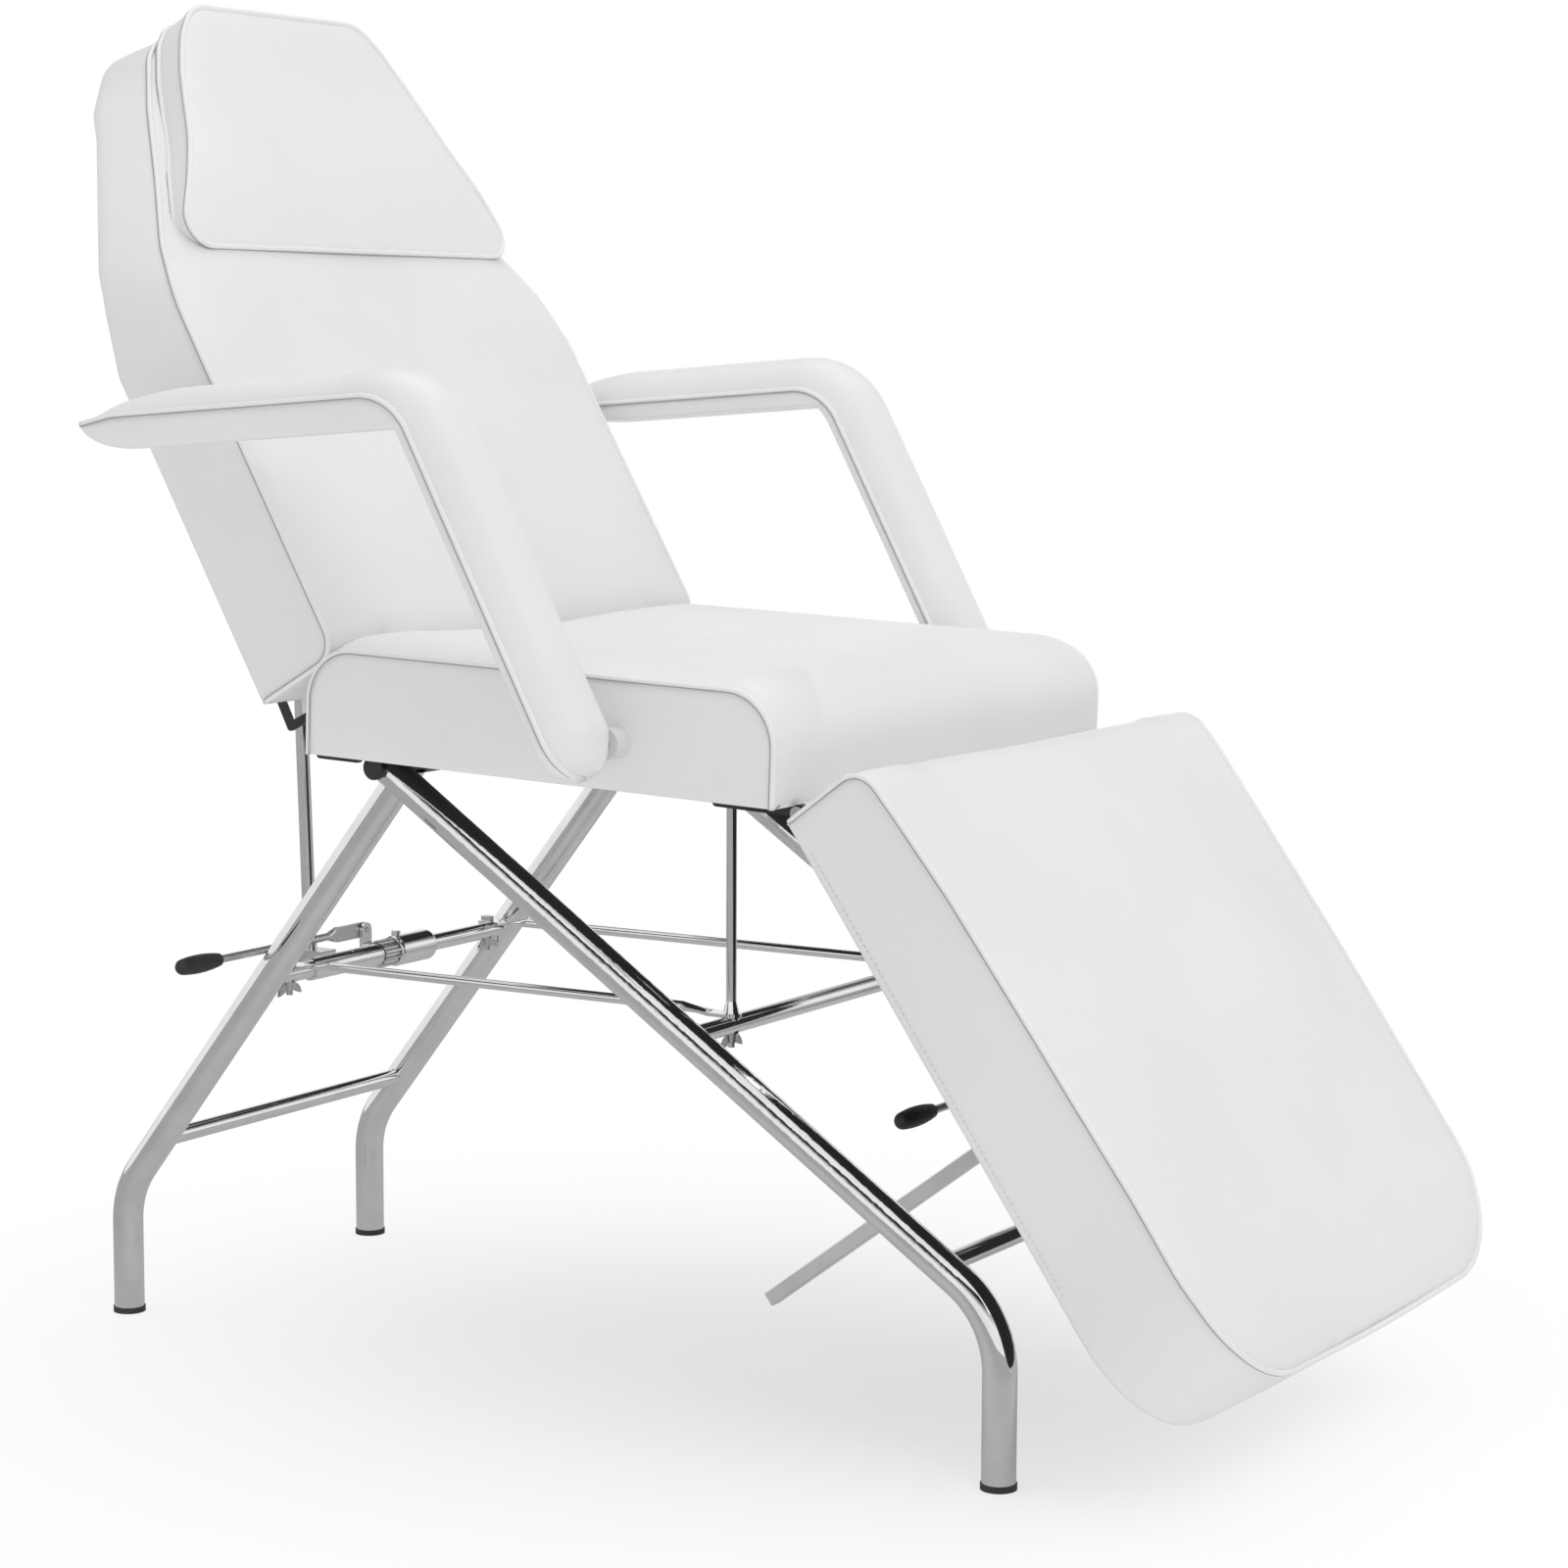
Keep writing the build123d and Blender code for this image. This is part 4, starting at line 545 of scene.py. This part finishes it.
def rim_seam(wrap, ring, keep, closed=False):
    """The piping along the part of a pad's rim where keep(x, a) holds."""
    normals = ring_normals(ring)
    start = 0
    if not closed:
        count = len(ring)
        for k in range(count):
            if keep(*ring[k]) and not keep(*ring[k - 1]):
                start = k
    order = [(start + k) % len(ring) for k in range(len(ring))]
    chosen = [k for k in order if closed or keep(*ring[k])]
    points, outs, ins = [], [], []
    for k in chosen:
        x, a = ring[k]
        nx, na = normals[k]
        _, _, up = wrap.spot(a)
        flat = wrap.slope.along * up[1] - wrap.slope.out * up[0]
        points.append(wrap.at(x, a))
        outs.append((Vector((1, 0, 0)) * nx + flat * na).normalized())
        ins.append(wrap.slope.along * up[0] + wrap.slope.out * up[1])
    return seam_pieces(points, outs, ins, closed)


def finish_pad(pad, body, node):
    """Hands a pad over: it rides its body and stands in for the solid named by node."""
    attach(pad, body)
    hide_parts(node)


def finish_seams(name, pieces, body):
    """Hands a pad's piping and stitches over as one piece."""
    seams = join(name, pieces)
    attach(seams, body)


def roll(d, reach, power=2.6):
    """Rounding of a stuffed panel near its seam: none at the rim, whole at reach."""
    return 1 - (1 - min(d / reach, 1.0)) ** power


def grown(a, start, length):
    """0 up to start, then evenly up to 1 over length."""
    return min(1.0, max(0.0, (a - start) / length))


def mirrored(side, radii):
    """A closed outline from the corners of its +x half, listed from the top down."""
    line = [(x, a) for x, a in side[::-1]] + [(-x, a) for x, a in side]
    return rounded(line, radii[::-1] + radii, 5, True)


def resampled(ring, count):
    """A closed line as count evenly spaced points."""
    loop = np.vstack([ring, ring[:1]])
    run = np.concatenate([[0], np.cumsum(np.linalg.norm(np.diff(loop, axis=0), axis=1))])
    marks = np.linspace(0, run[-1], count, endpoint=False)
    return np.stack([np.interp(marks, run, loop[:, k]) for k in range(2)], axis=1)


# Half the width of the seat, the backrest and the legrest
HALF = 316.0


def on_rim(x, a):
    """True along the sides and the front of a pad's outline, false along its rear lower edge."""
    return a > 0.5 or abs(x) > HALF - 0.5


def hollow(x, reach):
    """A soft dip along the middle of a panel: 1 at x = 0, none at reach."""
    return 0.5 + 0.5 * math.cos(math.pi * min(abs(x) / reach, 1.0))


# Seat
SEAT_Y, SEAT_Z, SEAT_TILT = -2.5, 629.5, 1.9
SEAT_DEPTH, SEAT_THICK = 534.0, 105.0
SEAT_REAR_ROUND, SEAT_FRONT_ROUND = 64.0, 74.0
# Height of the stuffing and how far in from the sides it is whole, then the same for the dish
SEAT_STUFFING, SEAT_REACH = 13.0, 62.0
SEAT_DISH, SEAT_DISH_REACH = 7.0, HALF * 0.78
# Lengths at the rear and front over which the stuffing grows
REAR_GROWTH, FRONT_GROWTH = 90.0, 110.0

seat = forward_slope(SEAT_Y, SEAT_Z, SEAT_TILT)
seat_side = [(0, 0), (0, SEAT_THICK), (SEAT_DEPTH, SEAT_THICK), (SEAT_DEPTH, 0)]
seat_path = rounded(seat_side, [0, SEAT_REAR_ROUND, SEAT_FRONT_ROUND, 0])
seat_wrap = Wrap(seat, seat_path, lambda s: 0.0)
seat_run = float(seat_wrap.run[-1])
seat_ring = [(-HALF, 0), (HALF, 0), (HALF, seat_run), (-HALF, seat_run)]
seat_ring = rounded(seat_ring, [0, 0, 0, 0], 6, True)


def seat_crown(x, a, d):
    """Two stuffed sides with a dip between, flat at the rounded ends."""
    ends = grown(a, 0, REAR_GROWTH) * grown(seat_run - a, 0, FRONT_GROWTH)
    stuffed = SEAT_STUFFING * roll(HALF - abs(x), SEAT_REACH)
    return (stuffed - SEAT_DISH * hollow(x, SEAT_DISH_REACH)) * ends**0.8


seat_pad = build_pad("seat_padding", seat_wrap, seat_ring, (0, seat_run / 2), seat_crown, seed=1.3)
finish_pad(seat_pad, "frame", "seat_cushion")
pieces = []
for side in (-1, 1):
    points = [seat_wrap.at(side * HALF, a) for a in seat_wrap.run]
    outs = [Vector((side, 0, 0))] * len(points)
    ins = [seat.along * float(u[0]) + seat.out * float(u[1]) for u in seat_wrap.normal]
    pieces += seam_pieces(points, outs, ins)
finish_seams("seat_piping", pieces, "frame")

# Backrest
BACK_Y, BACK_Z, BACK_ANGLE = -31.5, 742.0, 60.0
LOW, TOP = -15.0, 716.0
LOW_PAD, HIGH_PAD = 107.0, 68.0
# The front rim falls back by this much beside the pillow
SHOULDER = 13.0
BACK_STUFFING, BACK_REACH = 8.0, 55.0
BACK_DISH, BACK_DISH_REACH = 4.0, 250.0
# From FALL_FROM on, the crown makes up for the fall of the backrest's rim
FALL_FROM, FALL_REACH = 200, 75.0
# Up to here along a cover, the distance from its straight sides counts as well as the rim's
SIDES_COUNT = 300
PAD_POINTS = 420

backrest = rising_slope(BACK_Y, BACK_Z, BACK_ANGLE)
back_side = [(LOW, -LOW_PAD), (LOW, 0), (330, 0), (395, -5), (450, -SHOULDER), (TOP, -SHOULDER)]
back_path = rounded(back_side, [0, 26, 120, 300, 120, 0])


def back_depth(s):
    """The board's back, tapered from the foot to the top."""
    return -LOW_PAD + (LOW_PAD - HIGH_PAD) * (s - LOW) / (TOP - LOW)


# The cover's rear edge, as places up the backrest and how far out of its face each lies
lip_places = [LOW, 350, 431, 610, 650, TOP]
lip_edges = [-108.0, -106.0, back_depth(431), back_depth(610), -78, -76]


def back_lip(s):
    """How far the cover's rear edge stands out behind the tapered board."""
    return max(0.0, back_depth(s) - float(np.interp(s, lip_places, lip_edges)))


back_wrap = Wrap(backrest, back_path, back_depth)
back_run = float(back_wrap.run[-1])
OFFSET = back_run - TOP


def up_back(corners):
    """Corners given as (x, s) up the backrest, as (x, a) along its cover."""
    return [(x, s + OFFSET) for x, s in corners] + [(HALF, 0)]


back_foot = mirrored(up_back([(152, TOP), (216, 640), (HALF, 440)]), [82, 70, 120, 0])
back_foot = resampled(back_foot, PAD_POINTS)
back_ring = [(128, 702), (165, 682), (206, 610), (243, 527), (282, 447), (307, 388), (315, 330)]
back_ring = mirrored(up_back(back_ring), [70, 120, 200, 300, 160, 160, 300, 0])
back_ring = resampled(back_ring, PAD_POINTS)


def back_crown(x, a, d):
    """Stuffed up to the front line, which stays straight while the rim falls back."""
    side = min(d, HALF - abs(x)) if a < SIDES_COUNT else d
    low = grown(a, 60, 120.0)
    fallen = -back_wrap.spot(a)[1] if a > FALL_FROM else 0.0
    raised = BACK_STUFFING * roll(side, BACK_REACH) * (0.35 + 0.65 * low)
    dish = BACK_DISH * hollow(x, BACK_DISH_REACH) * low * (1 - a / back_run)
    return raised - dish + fallen * roll(side, FALL_REACH)


back_shape = (back_wrap, back_ring, (0, 420), back_crown)
back_pad = build_pad("backrest_padding", *back_shape, seed=2.1, base=back_foot, lip=back_lip)
finish_pad(back_pad, "backrest", "backrest_cushion")
finish_seams("backrest_piping", rim_seam(back_wrap, back_ring, on_rim), "backrest")

# Head pillow
PILLOW_FOOT = -6.5
PILLOW_ROWS, PILLOW_POINTS = 61, 260
# The front rim's height over the backrest's slope: (s, n) from its low edge to its top
pillow_rise = [(427, 10.6), (440, 11), (455, 12.5), (478, 17.5), (512, 24.5), (551, 27)]
pillow_rise += [(590, 28.5), (630, 30), (668, 33), (697, 37.5), (714, 39)]
pillow_s = np.linspace(pillow_rise[0][0], pillow_rise[-1][0], PILLOW_ROWS)
pillow_n = np.interp(pillow_s, *zip(*pillow_rise))
pillow_n = np.convolve(np.pad(pillow_n, 3, mode="edge"), np.ones(7) / 7, mode="valid")
pillow_path = np.stack([pillow_s, pillow_n], axis=1)
pillow_wrap = Wrap(backrest, pillow_path, lambda s: PILLOW_FOOT)
pillow_front = [(136, 281), (165, 246), (186, 206), (202, 166), (217, 127), (238, 88), (280, 8)]
pillow_base = [(128, 284), (158, 254), (182, 212), (199, 173), (214, 134), (235, 95), (275, 9)]
pillow_radii = [46, 60, 120, 160, 160, 160, 46]
pillow_ring = resampled(mirrored(pillow_front, pillow_radii), PILLOW_POINTS)
pillow_foot = resampled(mirrored(pillow_base, pillow_radii), PILLOW_POINTS)


def pillow_crown(x, a, d):
    """Quick rise beside the seam and a slow one across the face."""
    return 6.0 * roll(d, 55.0) + 2.0 * roll(d, 150.0, 1.6)


pillow_shape = (pillow_wrap, pillow_ring, (0, 135), pillow_crown)
pillow_pad = build_pad("pillow_padding", *pillow_shape, puff=2.2, seed=3.7, base=pillow_foot)
finish_pad(pillow_pad, "pillow", "head_pillow")
pieces = rim_seam(pillow_wrap, pillow_ring, None, True)
base_path = np.stack([pillow_s, np.full(PILLOW_ROWS, PILLOW_FOOT + 1.4)], axis=1)
base_wrap = Wrap(backrest, base_path, lambda s: PILLOW_FOOT)
pieces += rim_seam(base_wrap, pillow_foot, None, True)
finish_seams("pillow_piping", pieces, "pillow")

# Legrest
LEG_Y, LEG_Z, LEG_ANGLE = -543.5, 606.0, 55.0
LEG_TOP, LEG_BACK, LEG_END = 9.0, 2.0, 650.0
LEG_BOW, BOW_RADIUS = 6.0, 5000.0
FRONT_ROUND, BACK_ROUND = 126.0, 112.0
LEG_STUFFING, LEG_REACH = 5.0, 50.0
LEG_DISH, LEG_DISH_REACH = 3.0, 240.0

legrest = forward_slope(LEG_Y, LEG_Z, LEG_ANGLE)
leg_side = [(LEG_TOP, LEG_BACK), (LEG_TOP, 107), (60, 112), (150, 116), (300, 119), (460, 120.5)]
leg_side += [(560, 120), (612, 114.5), (LEG_END, 107)]
leg_path = rounded(leg_side, [0, 38, 200, 300, 400, 400, 150, 80, 0])
leg_wrap = Wrap(legrest, leg_path, lambda s: LEG_BACK)
leg_run = float(leg_wrap.run[-1])
spread_places = [0, 60, 110, 142, 192, 242, 342, 442, 540, 620]
spread_widths = [0, 8, 14, 14, 11, 8, 6, 4, 0, 0]


def leg_spread(a):
    """How much wider than its back the front panel is: most near the knee."""
    return float(np.interp(a, spread_places, spread_widths))


def leg_outline(half, corner):
    """The legrest's outline: square above, large corners and a slightly bowed end below."""
    side = [(0, leg_run), (half, leg_run - LEG_BOW), (half, 0)]
    line = side[::-1] + [(-x, a) for x, a in side[1:]]
    return resampled(rounded(line, [0, corner, BOW_RADIUS, corner, 0], 5, True), PAD_POINTS)


leg_foot = leg_outline(HALF - 2.0, BACK_ROUND)
leg_ring = leg_outline(HALF, FRONT_ROUND)
leg_ring = np.array([(x * (1 + leg_spread(a) / HALF), a) for x, a in leg_ring])


def leg_crown(x, a, d):
    """Stuffed less than the seat, and flatter at the knee."""
    side = min(d, HALF + leg_spread(a) - abs(x)) if a < SIDES_COUNT else d
    low = grown(a, 40, 140.0)
    raised = LEG_STUFFING * roll(max(side, 0.0), LEG_REACH) * (0.3 + 0.7 * low)
    return raised - LEG_DISH * hollow(x, LEG_DISH_REACH) * low


leg_shape = (leg_wrap, leg_ring, (0, leg_run * 0.52), leg_crown)
leg_pad = build_pad("legrest_padding", *leg_shape, seed=4.4, base=leg_foot)
finish_pad(leg_pad, "legrest", "legrest_cushion")
pieces = rim_seam(leg_wrap, leg_ring, on_rim)
for side in (-1, 1):
    # A row of stitches above the board, from the knee down to the corner
    edge = [legrest.at(side * (HALF - 0.6), 40 + 5.0 * k, LEG_BACK + 8.5) for k in range(93)]
    pieces += stitches(edge)
finish_seams("legrest_piping", pieces, "legrest")

# Armrests: a leaning post with a pad behind its top, drawn as (y, z) in the side view
POST_ANGLE, PAD_ANGLE = 61.4, 4.2
POST_LONG, PAD_LONG = 394.0, 383.0
ARM_INNER, ARM_WIDTH = 338.0, 82.0
ARM_ELBOW, ELBOW_ROUND, ARM_CROWN = (-188.8, 982.5), 62.0, 34.0
# Depths of the side panels: on the post, inside, at the tip, and outside the right and left pads.
# Seen from the camera the right pad is flatter and its outer panel deeper than the left one's.
POST_PANEL, INNER_PANEL, TIP_PANEL = 12.0, 19.0, 1.5
OUTER_PANEL = {"right": 34.0, "left": 21.0}
# Shares of the pad's length from which its side panels and its crown thin out
PANEL_TAIL, CROWN_TAIL = 0.78, 0.66
# Heights of the cover's puckers and waves, and of the dip beside its seam
ARM_WAVE, ARM_DIP = 0.5, 0.8

flat = Slope(0.0, 0.0, (1, 0), (0, 1))
post_up = np.array(lean(POST_ANGLE))
post_front = np.array([-post_up[1], post_up[0]])
pad_back = np.array([lean(PAD_ANGLE)[0], -lean(PAD_ANGLE)[1]])
pad_top = np.array([-pad_back[1], pad_back[0]])
arm_corner = np.array(ARM_ELBOW)
arm_foot = arm_corner - post_up * POST_LONG
arm_tip = arm_corner + pad_back * (PAD_LONG - 3.0) - pad_top * 6.0
arm_line = [arm_foot, arm_corner, arm_corner + pad_back * 340.0, arm_tip]
arm_line = rounded(arm_line, [0, ELBOW_ROUND, 60, 0], 3.0)
arm_out = outward(arm_line)
across = [math.copysign(1 - (1 - abs(k / 20.0 - 1)) ** 1.8, k / 20.0 - 1) for k in range(41)]


def arm_place(p):
    """How far up the post from its foot, and back along the pad from the elbow."""
    return float((p - arm_foot) @ post_up), float((p - arm_corner) @ pad_back)


def arm_meeting(front, top):
    """Where a line front of the post's meets a line above the pad's."""
    turn = float(post_front @ pad_top)
    along_front = (front - top * turn) / (1 - turn * turn)
    along_top = (top - front * turn) / (1 - turn * turn)
    return arm_corner + post_front * along_front + pad_top * along_top


def under_line(panel):
    """Lower edge of a side panel: behind the post and below the pad, meeting at a corner."""
    corner = arm_meeting(-POST_PANEL, -panel)
    turn_up, turn_along = arm_place(corner)
    rows = []
    for p in arm_line:
        up, along = arm_place(p)
        if along < turn_along:
            rows.append(p - post_front * POST_PANEL if up < turn_up else corner)
            continue
        t = (along - PAD_LONG * PANEL_TAIL) / (PAD_LONG * (1 - PANEL_TAIL))
        thin = math.sqrt(max(0.0, 1 - min(1.0, t) ** 2.2)) if t > 0 else 1.0
        deep = TIP_PANEL + (panel - TIP_PANEL) * thin
        rows.append(arm_corner + pad_back * along - pad_top * deep)
    return np.array(rows)


def arm_crown(u):
    """Height of the full crown at u, from -1 to 1 across the pad."""
    return ARM_CROWN * max(0.0, 1 - abs(u) ** 2.5) ** 0.72


def add_grid(verts, faces, rows):
    """Adds a sheet of quads through rows of points."""
    base, wide = len(verts), len(rows[0])
    for row in rows:
        verts.extend(row)
    for i in range(len(rows) - 1):
        for k in range(wide - 1):
            a = base + i * wide + k
            faces.append((a, a + 1, a + wide + 1, a + wide))


# Along the line: half the width, the crown's share, and how much of that the right pad has
arm_half, arm_fade, arm_lower = [], [], []
for p in arm_line:
    up, along = arm_place(p)
    r = ARM_WIDTH / 2
    on_post = along < -20
    arm_half.append(math.sqrt(max(4.0, r * r - (r - up) ** 2)) if on_post and up < r else r)
    tail = max(0.0, (along - PAD_LONG * CROWN_TAIL) / (PAD_LONG * (1 - CROWN_TAIL)))
    tip_fade = max(0.02, 1 - min(1.0, tail) ** 2.0) ** 0.75
    arm_fade.append(tip_fade * (min(1.0, 0.5 + up / 70.0) if on_post else 1.0))
    t = grown(along, -50.0, 130.0)
    arm_lower.append(1 - 0.33 * t * t * (3 - 2 * t))


def build_armrest(name, side):
    """An armrest's cover: its crown, two side panels, the underside and the two ends."""
    mid = side * (ARM_INNER + ARM_WIDTH / 2)
    under = {side: under_line(OUTER_PANEL[name]), -side: under_line(INNER_PANEL)}
    crowns = [f * low if side < 0 else f for f, low in zip(arm_fade, arm_lower)]
    count = len(arm_line)
    verts, faces = [], []

    def at(i, u, p):
        return flat.at(mid + u * arm_half[i], p[0], p[1])

    rows = []
    for i in range(count):
        row = []
        for u in across:
            near = (1 - abs(u)) * 3
            pucker = ARM_WAVE * max(0.0, 1 - near) * near * 4 * noise(i * 0.35, u * 3, side)
            swell = ARM_WAVE * (1 - u * u) * noise(i * 0.05, u * 2, side)
            lift = arm_crown(u) * crowns[i] + pucker + swell
            row.append(at(i, u, arm_line[i] + arm_out[i] * lift))
        rows.append(row)
    add_grid(verts, faces, rows)

    for edge in (-1, 1):
        rows = []
        for i, p in enumerate(arm_line):
            row = []
            for k in range(9):
                v = k / 8
                arch = math.sin(math.pi * v)
                q = p + (under[edge][i] - p) * v
                bulge = arch - ARM_DIP * (1 - min(1.0, v * 6))
                bulge += ARM_WAVE * arch * noise(i * 0.12, v * 2, edge, 7.0)
                row.append(flat.at(mid + edge * (arm_half[i] + bulge), q[0], q[1]))
            rows.append(row)
        add_grid(verts, faces, rows)

    def below(i, t):
        return under[-1][i] * (1 - t) + under[1][i] * t

    rows = [[at(i, k / 4 - 1, below(i, k / 8)) for k in range(9)] for i in range(count)]
    add_grid(verts, faces, rows)
    for i in (0, count - 1):
        rim = [at(i, u, arm_line[i] + arm_out[i] * arm_crown(u) * crowns[i]) for u in across]
        low = [at(i, u, below(i, 0.5 + u / 2)) for u in across]
        add_grid(verts, faces, [rim, [(p + q) / 2 for p, q in zip(rim, low)], low])

    pad = mesh_object(f"{name}_armrest_padding", verts, faces, leather)
    finish_pad(pad, f"{name}_armrest", f"{name}_armrest_pad")
    pieces = []
    for edge in (-1, 1):
        points = [at(i, edge, p) for i, p in enumerate(arm_line)]
        ins = [flat.along * float(u[0]) + flat.out * float(u[1]) for u in arm_out]
        pieces += seam_pieces(points, [Vector((edge, 0, 0))] * count, ins)
    finish_seams(f"{name}_armrest_piping", pieces, f"{name}_armrest")


build_armrest("right", -1)
build_armrest("left", 1)

# Camera, from the photo's perspective: where it stands, then its angles in radians
CAMERA_AT = (-3.0840, -2.2710 + SHIFT_Y, 1.0249)
YAW, PITCH, TILT = 0.5566, 0.1186, 0.0039

camera_data = bpy.data.cameras.new("camera")
camera_data.sensor_width = 36.0
camera_data.lens = 84.13
camera_data.clip_end = 100
camera = add_object("camera", camera_data)
ahead = Vector((math.cos(YAW) * math.cos(PITCH), math.sin(YAW) * math.cos(PITCH), -math.sin(PITCH)))
level = Vector((math.sin(YAW), -math.cos(YAW), 0.0))
right = level * math.cos(TILT) + level.cross(ahead) * math.sin(TILT)
up = right.cross(ahead)
rows = [(right[k], up[k], -ahead[k], CAMERA_AT[k]) for k in range(3)]
camera.matrix_world = Matrix((*rows, (0, 0, 0, 1)))
bpy.context.scene.camera = camera

# Floor: white, and matt in part round the feet, where it keeps the bed's shadow
MATT_SHARE = 0.42
# Metres from the middle between which the matt share fades out
FADE_FROM, FADE_TO = 0.15, 1.15
# The floor's glow as the chrome sees it
MIRRORED_GLOW = 0.42
FLOOR_HALF = 30

floor_mat = bpy.data.materials.new("studio_floor")
floor_mat.use_nodes = True
tree = floor_mat.node_tree
tree.nodes.clear()
out = add_node(tree, "OutputMaterial")
place = add_node(tree, "TexCoord")
length = add_node(tree, "VectorMath")
length.operation = "LENGTH"
fading = {"From Min": FADE_FROM, "From Max": FADE_TO, "To Min": MATT_SHARE, "To Max": 0.0}
reach = add_node(tree, "MapRange", fading)
reach.interpolation_type = "SMOOTHSTEP"
ray = add_node(tree, "LightPath")
shine = add_node(tree, "MapRange", {"To Min": 1.0, "To Max": MIRRORED_GLOW})
glow = add_node(tree, "Emission", {"Color": (1, 1, 1, 1)})
matte = add_node(tree, "BsdfDiffuse", {"Color": (1, 1, 1, 1)})
mix = add_node(tree, "MixShader")
tree.links.new(place.outputs["Object"], length.inputs[0])
tree.links.new(length.outputs["Value"], reach.inputs["Value"])
tree.links.new(ray.outputs["Is Glossy Ray"], shine.inputs["Value"])
tree.links.new(shine.outputs["Result"], glow.inputs["Strength"])
tree.links.new(reach.outputs["Result"], mix.inputs["Fac"])
tree.links.new(glow.outputs[0], mix.inputs[1])
tree.links.new(matte.outputs[0], mix.inputs[2])
tree.links.new(mix.outputs[0], out.inputs["Surface"])
floor_mesh = bpy.data.meshes.new("floor")
corners = [(x * FLOOR_HALF, y * FLOOR_HALF, 0) for x, y in ((-1, -1), (1, -1), (1, 1), (-1, 1))]
floor_mesh.from_pydata(corners, [], [(0, 1, 2, 3)])
floor_mesh.materials.append(floor_mat)
floor = add_object("floor", floor_mesh)

# Surroundings: white to the eye, soft grey light on matt surfaces, banded cards in the chrome.
# A band's place is the upward part of the ray's direction: 0.0 is level or lower, 1.0 straight up.
AMBIENT = 0.84
ambient_bands = [(0.0, grey(0.5)), (0.5, grey(0.8)), (1.0, grey(1.0))]
card_bands = [(0.0, grey(1.0)), (0.10, grey(0.9)), (0.30, grey(1.0)), (0.42, (0.55, 0.55, 0.56))]
card_bands += [(0.55, grey(0.02)), (0.66, grey(0.03)), (0.72, grey(1.0)), (1.0, grey(0.85))]

world = bpy.data.worlds.new("studio")
bpy.context.scene.world = world
world.use_nodes = True
tree = world.node_tree
tree.nodes.clear()
out = add_node(tree, "OutputWorld")
path = add_node(tree, "LightPath")
where = add_node(tree, "TexCoord")
split = add_node(tree, "SeparateXYZ")
ambient = add_node(tree, "Background", {"Strength": AMBIENT})
cards = add_node(tree, "Background", {"Strength": 1.0})
plain = add_node(tree, "Background", {"Color": (1, 1, 1, 1), "Strength": 1.0})
first = add_node(tree, "MixShader")
second = add_node(tree, "MixShader")
tree.links.new(where.outputs["Generated"], split.inputs["Vector"])
drive(tree, ambient, "Color", split.outputs["Z"], ambient_bands)
drive(tree, cards, "Color", split.outputs["Z"], card_bands)
tree.links.new(path.outputs["Is Glossy Ray"], first.inputs["Fac"])
tree.links.new(ambient.outputs[0], first.inputs[1])
tree.links.new(cards.outputs[0], first.inputs[2])
tree.links.new(path.outputs["Is Camera Ray"], second.inputs["Fac"])
tree.links.new(first.outputs[0], second.inputs[1])
tree.links.new(plain.outputs[0], second.inputs[2])
tree.links.new(second.outputs[0], out.inputs["Surface"])


def softbox(name, place, aim, size, power):
    """An area lamp at place that shines at aim; power is in watts."""
    data = bpy.data.lights.new(name, "AREA")
    data.shape = "RECTANGLE"
    data.size, data.size_y = size
    data.energy = power
    obj = add_object(name, data)
    obj.rotation_euler = (Vector(aim) - Vector(place)).to_track_quat("-Z", "Y").to_euler()
    obj.location = place


softbox("key", (-1.2, -3.4, 3.2), (0, 0, 0.7), (2.6, 2.2), 36)
softbox("top", (0.4, 0.4, 4.2), (0, 0, 0.6), (3.0, 3.0), 28)

bpy.context.scene.view_settings.view_transform = "Standard"
